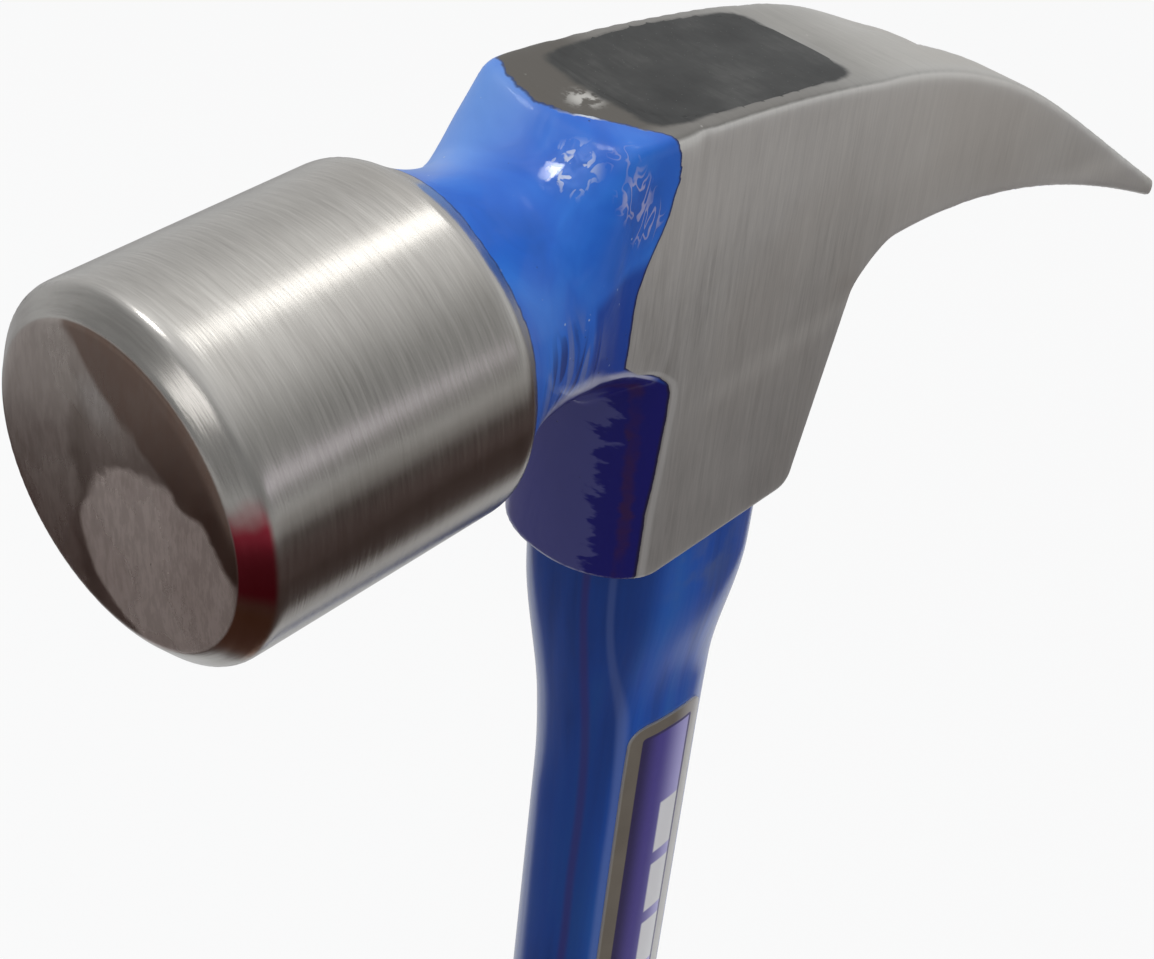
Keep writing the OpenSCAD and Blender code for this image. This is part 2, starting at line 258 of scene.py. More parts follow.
class Shader(Nodes):
    """One material under construction"""

    def __init__(self, name, preview):
        self.material = bpy.data.materials.new(name)
        self.material.use_nodes = True
        self.material.diffuse_color = (*preview, 1.0)
        super().__init__(self.material.node_tree)
        self.place = self.add("ShaderNodeTexCoord", {}, (), "Object")

    def attribute(self, name):
        settings = {"attribute_type": "GEOMETRY", "attribute_name": name}
        return self.add("ShaderNodeAttribute", settings, (), "Fac")

    def scaled(self, x, y, z):
        return self.vector_math("MULTIPLY", self.place, (x, y, z))

    def axes(self):
        """The three numbers of a place"""
        first = self.add("ShaderNodeSeparateXYZ", {}, [self.place])
        return [first.beside(axis) for axis in (X, Y, Z)]

    def noise(self, scale, detail, rough, distortion=0.0, shift=None):
        """Noise over the piece: its scale is one number, or three that stretch it"""
        even = isinstance(scale, (int, float))
        vector = self.place if even else self.scaled(*scale)
        if shift:
            vector = self.vector_math("ADD", vector, shift)
        return self.add(
            "ShaderNodeTexNoise", {"noise_dimensions": "3D"},
            {"Vector": vector, "Scale": scale if even else 1.0, "Detail": detail, "Roughness": rough,
             "Distortion": distortion}, "Fac")

    def cells(self, scale, shift=None):
        """Distance from the middles of scattered cells"""
        vector = self.vector_math("ADD", self.place, shift) if shift else self.place
        inputs = {"Vector": vector, "Scale": scale}
        return self.add("ShaderNodeTexVoronoi", {"feature": "F1"}, inputs, "Distance")

    def near(self, centre, inner, outer):
        """One within the inner distance of a place, nothing past the outer, both in metres"""
        return self.step(self.vector_math("DISTANCE", self.place, centre, output="Value"), outer, inner)

    def ramp(self, value, *stops):
        return self.add("ShaderNodeValToRGB", {"stops": stops}, [value], "Color")

    def mix(self, share, a, b):
        """Two colours by a share"""
        a, b = (c if isinstance(c, Socket) else (*c, 1.0) for c in (a, b))
        return self.add("ShaderNodeMix", {"data_type": "RGBA", "blend_type": "MIX"},
                        {"Factor": share, 6: a, 7: b}, 2)

    def bump(self, height, distance, strength):
        return self.add("ShaderNodeBump", {}, {"Height": height, "Distance": distance, "Strength": strength},
                        "Normal")

    def surface(self, **inputs):
        names = {"base": "Base Color", "rough": "Roughness", "metal": "Metallic", "coat": "Coat Weight",
                 "coat_rough": "Coat Roughness", "normal": "Normal", "ior": "IOR",
                 "specular": "Specular IOR Level"}
        return self.add("ShaderNodeBsdfPrincipled", {}, {names[k]: v for k, v in inputs.items()}, "BSDF")

    def finish(self, shader):
        self.add("ShaderNodeOutputMaterial", {}, {"Surface": shader})
        return self.material


def toned(colour, by):
    """A colour made darker or paler"""
    return tuple(min(1.0, c * by) for c in colour)


# Sizes of the head, in millimetres from the poll's axis and the middle of the eye

BELL_R = 17.0  # radius of the poll
AXIS_Z = box_side("head", HIGH, Z) - BELL_R
EYE_Z = box_side("head", LOW, Z)  # the eye's foot, above the butt
FACE_REACH = -box_side("head", LOW, X)
CLAW_REACH = box_side("head", HIGH, X)
SKIRT_DROP = round(AXIS_Z - EYE_Z, 1)
BELL_REAR = 39.9  # where the poll's band ends
FACE_R = 14.5  # the face inside its bevel
CROWN_H = 0.45  # how far the face is crowned
BEVEL_L = 2.15
WAIST_X = -28.4  # the neck's thinnest place
WAIST_W, WAIST_H = 11.8, 12.3
BROW_X = -20.4
LIP_DROP = 17.0  # the skirt's lip in front
CHEEK = 9.6  # half the eye block's width
CHEEK_FRONT = 11.8
TOP_H, TOP_SLOPE, TOP_BEND = 13.4, 0.175, 0.0023  # the curve of the block's top
SKIRT_FRONT, SKIRT_REAR = 16.8, 12.4
BLOCK_REAR = 17.4
CLAW_DROP = 20.4  # the claws' tips below the axis
CLAW_HALF = 16.5  # half the claws' spread
CLAW_SWELL, SWELL_AT, SWELL_SPREAD = 0.6, 44, 13  # a slight swelling of the claws' backs
ROOT_DROP, ROOT_ROUND = 11.4, 4.5  # the claws' root behind the skirt
TIP_T, TIP_ROUND, TIP_LIFT = 1.2, 1.05, 0.55
TIP_EDGE = 0.8  # rounding of the claws' edges near the tips
FAR_DROOP = 1.5  # how much lower the far claw's crown lies
SLOT_HALF, SLOT_ROOT_R, SLOT_L = 6.5, 0.9, 37.0
FOOT_WALL = 2.6
EYE_L, EYE_W, EYE_PINCH = 28.8, 15.4, 0.9
EYE_WAIST = 0.55  # share of the eye's height where it is narrowest
EYE_POWER = 3.6
WAIST_POWER, BLOCK_POWER = 2.2, 24  # squareness of the neck's section and of the block's
NOSE_NEAR, NOSE_FAR = 1.85, 2.3  # fullness of the block's rounded front on each side
EPOXY_PROUD, EPOXY_OVERLAP = 0.015, 0.8  # epoxy over the ground top, and into the steel
SEAL_H = 4  # the seal below the epoxy
EYE_ROUND = 0.1  # rounding of the eye's mouth
NECK_CURVE, LIP_CURVE, CLAW_CURVE = 1.8, 2.6, 2.3  # how late neck, lip and claws leave their first size
SLOT_OVERRUN = 6
LIP_ACROSS, LIP_DOWN, LIP_ROUND = 0.72, 0.694, 0.4  # the way that the slanted lip faces, and its rounding

# Blends on the head: where each starts and where it is full
POLL_TO_NECK = (-50, -44)
FLANK_BLEND, FLANK_SWELL = (-27, -19), 0.35  # the far flank of the flare stands fuller than the near one
LIFT_ACROSS, LIFT_UP = (2, 8), (6, 10)
DROOP_START, DROOP_END, DROOP_ACROSS, DROOP_UP = (18.5, 38), (62, 47), (-0.5, 4.5), (0, 2)
WORN_START, WORN_END = (10, 22), (50, 36)  # the stretch where handling wore the top edges
WORN_NEAR, WORN_FAR, WORN_ABOVE = 0.8, 1.5, -6  # how round they are worn on each side, and above what height
CRISP_EDGE = 0.05
CRISP_TIPS = (40, 58)
SLOT_THICK_PLACES, SLOT_THICKNESS = (31, 68), (10, 1.2)  # thickness of the claws along the slot
BEVEL_SHARE = 0.42  # most that the slot's bevels take of that thickness
DIAGONAL = 0.7071  # a bevel at 45 degrees


# Outlines of the head


def rise(value, start, full):
    """The share of the way that a value has come, from where a blend starts to where it is full"""
    return np.clip((value - start) / (full - start), 0, 1)


def ease(s):
    """A smooth rise from nothing to one"""
    s = np.clip(s, 0, 1)
    return s * s * (3 - 2 * s)


def bezier(a, b, c, d, count):
    """Points along a cubic curve"""
    t = np.linspace(0, 1, count)[:, None]
    u = 1 - t
    return u ** 3 * a + 3 * u * u * t * b + 3 * u * t * t * c + t ** 3 * d


def arc(centre, radius, start, end, count):
    """Points along an arc between two angles in degrees"""
    t = np.radians(np.linspace(start, end, count))
    return np.array(centre) + radius * np.stack([np.cos(t), np.sin(t)], 1)


def between(a, b, shares):
    """A place by its shares of the way from one to another, one share for each axis"""
    return a + (b - a) * np.array(shares)


def top_z(x):
    return TOP_H - TOP_SLOPE * x - TOP_BEND * x * x


def claw_backs(start, tip_top):
    """The claws' upper line, from the block to the tip"""
    back = bezier(start, between(start, tip_top, (0.383, 0.107)), between(start, tip_top, (0.728, 0.615)),
                  tip_top, 40)
    back[:, 1] += CLAW_SWELL * np.exp(-((back[:, 0] - SWELL_AT) / SWELL_SPREAD) ** 2)
    return back


def side_outline():
    """The eye block and claws from the side"""
    claw_from = BLOCK_REAR - TIP_T
    xs = np.linspace(-SKIRT_FRONT, claw_from, 40)
    tip = arc((CLAW_REACH - TIP_ROUND, TIP_LIFT - CLAW_DROP), TIP_ROUND, 51, -108, 12)
    tip_under = tip[-1]
    root = np.array([BLOCK_REAR + ROOT_ROUND * 1.35, -ROOT_DROP])
    bellies = [between(tip_under, root, shares) for shares in ((0.33, 0.68), (0.66, 0.98))]
    corner = np.array([BLOCK_REAR, -ROOT_DROP])
    rear_top = corner - (0, ROOT_ROUND)
    foot_r = FOOT_WALL * 0.85
    return np.concatenate([
        np.stack([xs, top_z(xs)], 1),
        claw_backs(np.array([claw_from, top_z(claw_from)]), tip[0]),
        tip[1:-1],
        bezier(tip_under, *bellies, root, 40),
        bezier(root, between(root, corner, 0.3), between(rear_top, corner, 0.3), rear_top, 16),
        arc((SKIRT_REAR - foot_r, -SKIRT_DROP + foot_r), foot_r, 0, -90, 12),
        [[-SKIRT_FRONT, -SKIRT_DROP]],
    ])


def claw_edge(x):
    """Half the claws' spread along the head"""
    start = BLOCK_REAR - TIP_T + ROOT_ROUND
    share = np.clip((x - start) / (CLAW_REACH - start), 0, None)
    return CHEEK + (CLAW_HALF - CHEEK) * share ** CLAW_CURVE


def nose(power):
    """One half of the block's rounded front, from above: a higher power is fuller"""
    start = CHEEK_FRONT * 0.85
    t = np.radians(np.linspace(180, 90, 30))
    c, s = np.abs(np.cos(t)), np.abs(np.sin(t))
    return np.stack([-start - (SKIRT_FRONT - start) * c ** (2 / power), CHEEK * s ** (2 / power)], 1)


def plan_outline():
    """The eye block and claws from above, without the slot: the far half of the nose is a little fuller"""
    corner = TIP_T * 1.4
    xs = np.linspace(BLOCK_REAR, CLAW_REACH - corner, 60)
    edge = np.stack([xs, claw_edge(xs)], 1)
    tip = arc((CLAW_REACH - corner, CLAW_HALF - corner), corner, 90, 0, 10)
    far = np.concatenate([nose(NOSE_FAR), edge, tip])
    near = np.concatenate([nose(NOSE_NEAR), edge, tip])[::-1] * (1, -1)
    return np.concatenate([far, near[:-1]])


def slot_outline():
    """The nail slot from above, carried on past the tips"""
    root = CLAW_REACH - SLOT_L
    bend = arc((root + SLOT_ROOT_R, 0), SLOT_ROOT_R, 90, 270, 24)
    reach = CLAW_REACH + SLOT_OVERRUN
    grow = SLOT_ROOT_R + (SLOT_HALF - SLOT_ROOT_R) * (reach - root) / SLOT_L
    return np.concatenate([[[reach, grow]], bend, [[reach, -grow]]])


def neck_rows():
    """Along the neck: place, half width, height, depth, and squareness above and below"""
    rows = []
    for s in (0, *np.linspace(0.05, 1, 20)):
        left = (1 - s) ** NECK_CURVE
        tall = WAIST_H + (BELL_R - WAIST_H) * left
        square = 2 + 0.2 * s
        rows.append([-BELL_REAR + (WAIST_X + BELL_REAR) * s, WAIST_W + (BELL_R - WAIST_W) * left, tall, tall,
                     square, square])
    return rows


def flare_rows():
    """The same along the flare, from the waist to the cheeks"""
    rows = []
    for way, wide, square in FLARE_SHARES:
        x = WAIST_X + (BROW_X - WAIST_X) * way
        depth = WAIST_H + (LIP_DROP - WAIST_H) * rise(x, WAIST_X, -SKIRT_FRONT) ** LIP_CURVE
        rows.append([x, WAIST_W + (CHEEK - WAIST_W) * wide, WAIST_H + (top_z(x) - WAIST_H) * wide, depth,
                     WAIST_POWER * (BLOCK_POWER / WAIST_POWER) ** square, WAIST_POWER + 1.8 * wide])
    rows.append([-CHEEK_FRONT, CHEEK, top_z(-CHEEK_FRONT), LIP_DROP, BLOCK_POWER, 4])
    return rows


# Along the flare: share of the way from the waist to the brow, and how wide and how square it is there
FLARE_SHARES = ((0.25, 0.06, 0.06), (0.5, 0.33, 0.2), (0.72, 0.64, 0.38), (0.88, 0.9, 0.55), (1, 1, 0.75),
                (1.18, 1, 0.95), (1.4, 1, 1))
# Reach of the slanted lip under the neck, by place along the head
LIP_PLACES = (-60, -28.4, -23, -20.4, -18.5, -16.8, -14.5, -12.9, -11.7)
LIP_REACH = (40, 12.2, 12.25, 12.6, 13.0, 13.6, 14.4, 15.2, 16.1)
# How far the far top edge stands proud, by place along the head
LIFT_PLACES = (-26, -20, -16, 4, 14, 22)
LIFT_HEIGHTS = (0, 0.75, 0.75, 0.38, 0.33, 0)
# The far claw's crown is lowered only above this line, by place along the head
CROWN_PLACES = (20, 32, 44, 56, 64)
CROWN_HEIGHTS = (0, -4, -8, -13, -19)

# The enamel's edges on the head, as points of their outlines. Across the brow: place across, and along
BROW = ((-9.6, -15.1), (-9.1, -15.2), (-8.5, -15.5), (-6.8, -16.7), (-3.0, -18.9), (-0.3, -20.4),
        (2.9, -21.0), (6.6, -20.3), (9.9, -18.5))
# Round the poll's rear: degrees from the near side, and distance ahead of the eye's middle
BELL_EDGE = ((-180, 38.2), (-90, 38.6), (8, 38.5), (30, 37.7), (46, 38.3), (63, 38.3), (76, 37.6),
             (108, 36.7), (140, 37.0), (180, 38.2))
# Down the cheek's front: height, and place along
CHEEK_LINE = ((-38.6, -12.3), (-37.3, -12.3), (-30.0, -12.2), (-22.4, -11.7), (-16.4, -11.4), (-14.5, -11.4),
              (-13.2, -11.7), (-12.0, -12.9), (-10.8, -14.5), (-9.6, -16.8), (-7.6, -19.0), (-4.3, -19.0),
              (-1.0, -18.9), (0.6, -18.7), (3.4, -17.7), (6.0, -16.3), (7.7, -15.5), (11.1, -14.8),
              (12.8, -14.8), (14.6, -14.9), (16.2, -15.3))


# The head as a field of signed distances on a grid


def outline_distance(u, v, outline):
    """Signed distance from places to a closed outline, less than nothing inside"""
    u, v = np.broadcast_arrays(u, v)
    best = np.full(u.shape, 1e9)
    inside = np.zeros(u.shape, bool)
    for (ax, ay), (bx, by) in zip(outline, np.roll(outline, -1, axis=0)):
        dx, dy = bx - ax, by - ay
        length = dx * dx + dy * dy
        if length < 1e-12:
            continue
        t = np.clip(((u - ax) * dx + (v - ay) * dy) / length, 0, 1)
        best = np.minimum(best, (u - ax - t * dx) ** 2 + (v - ay - t * dy) ** 2)
        if ay != by:
            inside ^= ((ay > v) != (by > v)) & (u < ax + (v - ay) * dx / dy)
    return np.where(inside, -1, 1) * np.sqrt(best)


def oval_distance(u, v, half_u, half_v, power):
    """About how far a place lies outside a squared oval, less than nothing inside"""
    rho = ((np.abs(u) / half_u) ** power + (np.abs(v) / half_v) ** power) ** (1 / power)
    return np.sqrt(u * u + v * v) * (1 - 1 / np.maximum(rho, 1e-3))


def smooth_low(a, b, k):
    """The lower of two fields, with the crease between them filled"""
    h = np.clip(0.5 + 0.5 * (b - a) / k, 0, 1)
    return b + (a - b) * h - k * h * (1 - h)


def smooth_high(a, b, k):
    """The higher of two fields, with the edge between them rounded"""
    return -smooth_low(-a, -b, k)


def blurred(field, passes):
    """The field after so many passes of a three-wide average along each axis"""
    for _ in range(passes):
        for axis in range(3):
            f = np.moveaxis(field, axis, 0)
            g = f.copy()
            g[1:-1] = 0.25 * f[:-2] + 0.5 * f[1:-1] + 0.25 * f[2:]
            field = np.moveaxis(g, 0, axis)
    return field


def along(xs, places, values):
    """A value that changes along the head, shaped to meet the grid"""
    return np.interp(xs, places, values)[:, None, None]


def far_lift(xs, y, z):
    """The far top edge stands a little proud at the brow and over the roots of the claws"""
    return along(xs, LIFT_PLACES, LIFT_HEIGHTS) * rise(y, *LIFT_ACROSS) * rise(z, *LIFT_UP)


def far_droop(xs, y, z):
    """The far claw's crown lies a little lower"""
    x = xs[:, None, None]
    droop = FAR_DROOP * ease(rise(x, *DROOP_START)) * ease(rise(x, *DROOP_END)) * ease(rise(y, *DROOP_ACROSS))
    return droop * rise(z - along(xs, CROWN_PLACES, CROWN_HEIGHTS), *DROOP_UP)


def neck_field(xs, y, z, lift):
    """Neck and flare: round at the poll, squarer towards the cheeks, with a slanted lip below"""
    x = xs[:, None, None]
    rows = np.array(neck_rows() + flare_rows())
    half_w, up, down, square_up, square_low = (along(xs, rows[:, 0], rows[:, k]) for k in range(1, 6))
    half_w = np.where(y > 0, half_w + FLANK_SWELL * rise(x, *FLANK_BLEND), half_w)
    body = oval_distance(y, z, half_w, np.where(z > 0, up, down), np.where(z > 0, square_up, square_low))
    lip = LIP_ACROSS * np.abs(y) + LIP_DOWN * np.abs(z) - along(xs, LIP_PLACES, LIP_REACH)
    body = np.where(z < 0, smooth_high(body, lip, LIP_ROUND), body)
    return np.maximum(body - lift, x + CHEEK_FRONT)


def forged_field(xs, ys, zs, edge_round):
    """Neck, eye block and claws, softer at the claws' roots and crisper at their tips"""
    x, y, z = xs[:, None, None], ys[None, :, None], zs[None, None, :]
    lift = far_lift(xs, y, z)
    side = outline_distance(xs[:, None], zs[None, :], side_outline())[:, None, :]
    plan = outline_distance(xs[:, None], ys[None, :], plan_outline())[:, :, None]
    worn = rise(x, *WORN_START) * rise(x, *WORN_END)
    soft = CRISP_EDGE + worn * np.where(y > 0, WORN_FAR, WORN_NEAR) * (z > WORN_ABOVE)
    block = smooth_high(side - lift + far_droop(xs, y, z), plan, soft)
    forged = blurred(np.minimum(neck_field(xs, y, z, lift), block), edge_round)
    share = rise(x, *CRISP_TIPS)
    return forged * (1 - share) + smooth_high(side, plan, TIP_EDGE) * share


def slotted(claws, xs, ys, slot_bevel):
    """The nail slot cut through, with a bevel that shrinks with the claws' thickness"""
    cut = np.minimum(slot_bevel, BEVEL_SHARE * along(xs, SLOT_THICK_PLACES, SLOT_THICKNESS))
    slot = -outline_distance(xs[:, None], ys[None, :], slot_outline())[:, :, None]
    return np.maximum(np.maximum(claws, slot), (claws + slot + cut) * DIAGONAL)


def poll_field(x, radius, face_round):
    """The poll, turned on its axis, with a crowned face inside its bevel"""
    crown = (FACE_R ** 2 + CROWN_H ** 2) / (2 * CROWN_H)
    disc = -FACE_REACH + radius ** 2 / (2 * crown) - x
    run, drop = BEVEL_L, BELL_R - FACE_R
    bevel = (-(x + FACE_REACH - CROWN_H) * drop + (radius - FACE_R) * run) / math.hypot(run, drop)
    return smooth_high(smooth_high(radius - BELL_R, bevel, face_round), disc, face_round)


def eye_field(x, y, z):
    """The eye, which runs down through the block and is pinched at its waist"""
    high = rise(z, -SKIRT_DROP, TOP_H)
    waist = np.where(high < EYE_WAIST, high / EYE_WAIST, (1 - high) / (1 - EYE_WAIST))
    pinch = EYE_PINCH * np.clip(waist, 0, 1)
    front = SKIRT_FRONT - FOOT_WALL + (EYE_L / 2 - SKIRT_FRONT + FOOT_WALL) * high - pinch
    rear = SKIRT_REAR - FOOT_WALL + (EYE_L / 2 - SKIRT_REAR + FOOT_WALL) * high - pinch
    return oval_distance(x, y, np.where(x < 0, front, rear), EYE_W / 2 - pinch, EYE_POWER)


def head_fields(xs, ys, zs, sizes):
    """Signed distances in millimetres to the head's skin, to the epoxy's and to the outside of both"""
    x, y, z = xs[:, None, None], ys[None, :, None], zs[None, None, :]
    claws = slotted(forged_field(xs, ys, zs, sizes.edge_round), xs, ys, sizes.slot_bevel / MM)
    # the poll is turned, so its front is left crisp
    poll = poll_field(x, np.sqrt(y * y + z * z), sizes.face_round / MM)
    share = rise(x, *POLL_TO_NECK)
    whole = poll * (1 - share) + claws * share
    eye = eye_field(x, y, z)
    bond = np.maximum(np.maximum(whole - EPOXY_PROUD, eye - EPOXY_OVERLAP), -z - SKIRT_DROP + SEAL_H)
    return smooth_high(whole, -eye, EYE_ROUND), bond, whole


# A skin drawn over the zero surface of a field, in grid units

CORNERS = [np.array([corner >> axis & 1 for axis in range(3)]) for corner in range(8)]


def sample(field, where):
    """The field between its grid points"""
    base = np.clip(np.floor(where).astype(int), 0, np.array(field.shape) - 2)
    share = np.clip(where - base, 0, 1)
    total = 0
    for bits in CORNERS:
        weight = np.prod(np.where(bits, share, 1 - share), axis=1)
        i, j, k = (base + bits).T
        total = total + weight * field[i, j, k]
    return total


def slopes(field):
    """How fast the field changes along each axis"""
    return [np.gradient(field, axis=axis) for axis in range(3)]


def directions(slope, points):
    """The slope at the points as unit vectors"""
    steep = np.stack([sample(s, points) for s in slope], 1)
    return steep / (np.linalg.norm(steep, axis=1)[:, None] + 1e-12)


def surface_cells(inside):
    """The grid's cells that the surface runs through"""
    nx, ny, nz = (n - 1 for n in inside.shape)
    count = sum(inside[i:i + nx, j:j + ny, k:k + nz].astype(np.int8) for i, j, k in CORNERS)
    return np.argwhere((count > 0) & (count < 8))


def cell_points(field, cells):
    """One point in each cell, the mean of where the surface crosses the cell's edges"""
    total, seen = np.zeros((len(cells), 3)), np.zeros(len(cells))
    for low in CORNERS:
        for axis in range(3):
            if low[axis]:
                continue
            high = low.copy()
            high[axis] = 1
            fa, fb = field[tuple((cells + low).T)], field[tuple((cells + high).T)]
            cross = (fa < 0) != (fb < 0)
            t = np.where(cross, fa / np.where(cross, fa - fb, 1), 0)
            total += (cells + low + t[:, None] * (high - low)) * cross[:, None]
            seen += cross
    return total / seen[:, None]


def drawn_on(points, field, slope):
    """The points moved on to the surface along the slope"""
    for _ in range(3):
        g = np.stack([sample(s, points) for s in slope], 1)
        move = (sample(field, points) / np.maximum((g * g).sum(1), 1e-6))[:, None] * g
        points = points - np.clip(move, -0.4, 0.4)
    return points


def cell_quads(inside, cells):
    """Quads that join the points of neighbouring cells, facing outwards"""
    index = -np.ones([n - 1 for n in inside.shape], int)
    index[tuple(cells.T)] = np.arange(len(cells))
    quads = []
    for axis in range(3):
        u, v = (axis + 1) % 3, (axis + 2) % 3
        a = [slice(0, n) for n in inside.shape]
        b = list(a)
        a[axis], b[axis] = slice(0, -1), slice(1, None)
        change = inside[tuple(a)].astype(np.int8) - inside[tuple(b)].astype(np.int8)
        for sign in (1, -1):
            spots = np.argwhere(change == sign)
            ring = []
            for du, dv in ((-1, -1), (0, -1), (0, 0), (-1, 0)):
                c = spots.copy()
                c[:, u] += du
                c[:, v] += dv
                ring.append(index[tuple(c.T)])
            ring = np.stack(ring, 1)
            quads.append(ring if sign == 1 else ring[:, ::-1])
    return np.concatenate(quads)


def skin(field):
    """Points on the zero surface of a field, the directions outwards there, and the quads between"""
    inside = field < 0
    cells = surface_cells(inside)
    slope = slopes(field)
    points = drawn_on(cell_points(field, cells), field, slope)
    return points, directions(slope, points), cell_quads(inside, cells)


# Meshes


def mesh_object(name, points, faces, material, normals=None, attributes=None):
    """A smooth mesh at the origin, from points in millimetres above the butt"""
    mesh = bpy.data.meshes.new(name)
    mesh.from_pydata((np.asarray(points) * MM).tolist(), [], [list(map(int, f)) for f in faces])
    mesh.polygons.foreach_set("use_smooth", [True] * len(mesh.polygons))
    for key, values in (attributes or {}).items():
        layer = mesh.attributes.new(key, "FLOAT", "POINT")
        layer.data.foreach_set("value", np.asarray(values, np.float32))
    if normals is not None:
        mesh.normals_split_custom_set_from_vertices(normals.tolist())
    mesh.materials.append(material)
    mesh.update()
    piece = bpy.data.objects.new(name, mesh)
    bpy.context.scene.collection.objects.link(piece)
    return piece


def placed(piece, node):
    """The piece stands for a node of the frame, which is hidden"""
    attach(piece, "root")
    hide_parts(node)
    return piece


def oval(front, rear, half_w, power, count):
    """Points round a squared oval whose front and rear reach differ"""
    t = np.radians(360 * (np.arange(count) + 0.5) / count)
    c, s = np.cos(t), np.sin(t)
    return np.stack([np.where(c < 0, front, rear) * np.sign(c) * np.abs(c) ** (2 / power),
                     half_w * np.sign(s) * np.abs(s) ** (2 / power)], 1)


def at_height(outline, z):
    return np.column_stack([outline, np.full(len(outline), z)])


def loft(rings, close=True):
    """Quads through a stack of rings, with one face over each end where it is closed"""
    count = len(rings[0])
    points = np.concatenate(rings)
    faces = []
    for j in range(len(rings) - 1):
        for i in range(count):
            k = (i + 1) % count
            faces.append((j * count + i, j * count + k, (j + 1) * count + k, (j + 1) * count + i))
    if close:
        faces.append(tuple(range(count))[::-1])
        faces.append(tuple((len(rings) - 1) * count + i for i in range(count)))
    return points, faces


GROUND_FROM = 3  # above this height over the axis, one ground surface runs over head and epoxy
# The epoxy's mouth in the head's top: its reach in front and behind, half its width, and its squareness
MOUTH_FRONT, MOUTH_REAR, MOUTH_HALF, MOUTH_POWER = 15.5, 13.9, 7.75, 9
EDGE_LIMIT = 6  # how far an edge's distance is kept
MOUTH_DEPTH = 3  # the mouth's distance counts down to here below the top
# The enamel below the claws: where along the head it starts and ends, and how far below the top
BELLY_FROM, BELLY_TO, BELLY_DROP = 8, 52, 2.5
# The line of the skirt's lip: its height at the skirt's front, how fast it falls, and where it starts
LIP_LINE_Z, LIP_LINE_FALL, LIP_LINE_FROM = -9.6, 0.7, -17.4
UNDER_LIMIT = 3
RIDGE_PASSES, RIDGE_BEND = 6, 0.22  # how broadly ridges are felt, and the bend of a fully worn one


def ground_skin(field, step, low, outside, slope):
    """A field's skin in millimetres, with the outside's directions wherever the ground top lies on it"""
    points, normals, faces = skin(field / step)
    height = points[:, 2] * step + low[2]
    ground = (height > GROUND_FROM) & (np.abs(sample(outside, points)) < 0.35)
    normals = np.where(ground[:, None], directions(slope, points), normals)
    return low + points * step, normals, faces


def paint_distance(p, n):
    """How far inside the enamel each place lies, in millimetres: less than nothing on bare steel"""
    x, y, z = p.T
    turn = np.arctan2(z, -y)
    from_bell = x + np.interp(np.degrees(turn), *zip(*BELL_EDGE))
    on_top = np.clip((n[:, 2] - 0.55) / 0.3, 0, 1) * np.clip((z - 12.5) / 1.5, 0, 1)
    front = (np.interp(z, *zip(*CHEEK_LINE)) * (1 - on_top) + np.interp(y, *zip(*BROW)) * on_top) - x
    flank = np.abs(n[:, 1])
    behind = (x > BELLY_FROM) & (z < top_z(x) - BELLY_DROP)
    rear = np.where(behind, (0.5 - flank) * 4 - np.clip(n[:, 2] - 0.1, 0, 1) * 8, -4.0)
    rear = np.minimum(rear, (BELLY_TO - x) * 0.5)
    return np.clip(np.maximum(np.minimum(from_bell, front), rear), -EDGE_LIMIT, EDGE_LIMIT)


def mouth_distance(p):
    """How far outside the epoxy's mouth each place on the top lies, in millimetres"""
    x, y, z = p.T
    away = oval_distance(x, y, np.where(x < 0, MOUTH_FRONT, MOUTH_REAR), MOUTH_HALF, MOUTH_POWER)
    return np.clip(np.where(z > top_z(x) - MOUTH_DEPTH, away, EDGE_LIMIT), -EDGE_LIMIT, EDGE_LIMIT)


def under_share(p, n):
    """More than nothing below the neck and on the skirt's front, less above its lip"""
    x, _, z = p.T
    lip_line = 2 * (LIP_LINE_Z - LIP_LINE_FALL * (x + SKIRT_FRONT) - z)
    share = np.where(x > LIP_LINE_FROM, lip_line, (-n[:, 2] - 0.25) * 4)
    return np.clip(share, -UNDER_LIMIT, UNDER_LIMIT)


def worn_ridges(field, where):
    """One along the outer edges, where handling wears them and where their highlight is painted"""
    return np.clip(sample(blurred(field, RIDGE_PASSES) - field, where) / RIDGE_BEND, 0, 1)


# The handle, in millimetres above the butt

SHAFT_L, SHAFT_W = 10.9, 7.1  # half the shaft's section
SHAFT_POWER = 2.4
SHOULDER_FRONT, SHOULDER_REAR, SHOULDER_W = 14.4, 12.3, 9.1
FLARE_FRONT, FLARE_REAR, FLARE_SIDE = 40, 25, 26.25  # where each side of the shoulder starts, below the eye
SHOULDER_HOLD = 7  # the rear and the sides are full from here up to the eye
SHOULDER_L = 41  # the stretch whose rings lie closer together
FLOOR = box_side("jacket", LOW, Z)  # where rod and jacket stand in the grip
RING_N = 96  # points round the handle
BORE_L, BORE_W = 9.75, 5.35  # half the rod's room inside the jacket

LABEL_HALF = box_side("label_left", HIGH, X)
LABEL_TOP = box_side("label_left", HIGH, Z)
LABEL_L = round(LABEL_TOP - box_side("label_left", LOW, Z), 1)
LABEL_CORNER = 2.52
LABEL_SLANT = 1.6  # how far the label's top rises towards the front
FILM_T, FILM_SEAT = 0.24, 0.02
FILM_COLS = 41

GRIP_L = box_side("grip", HIGH, Z)
GRIP_POWER = 2.5
BUTT_HALF, PALM_HALF, SHAFT_HALF = (21.0, 15.5), (16.0, 12.5), (SHAFT_L, SHAFT_W)
BUTT_FOOT = 3.0  # rounding of the butt's foot
GRIP_START = 0.018  # share of the grip's length at which its form begins
COLLAR_GAP = 0.05
# Along the grip: share of its length, swell from the butt to the palm, and how much rubber covers the shaft
GRIP_ROWS = ((GRIP_START, 0, 1), (0.1, 0.2, 1), (0.24, 0.86, 1), (0.38, 1.12, 1), (0.56, 1, 1),
             (0.74, 1, 0.86), (0.9, 1, 0.5), (0.97, 1, 0.25), (1, 1, 0.12))


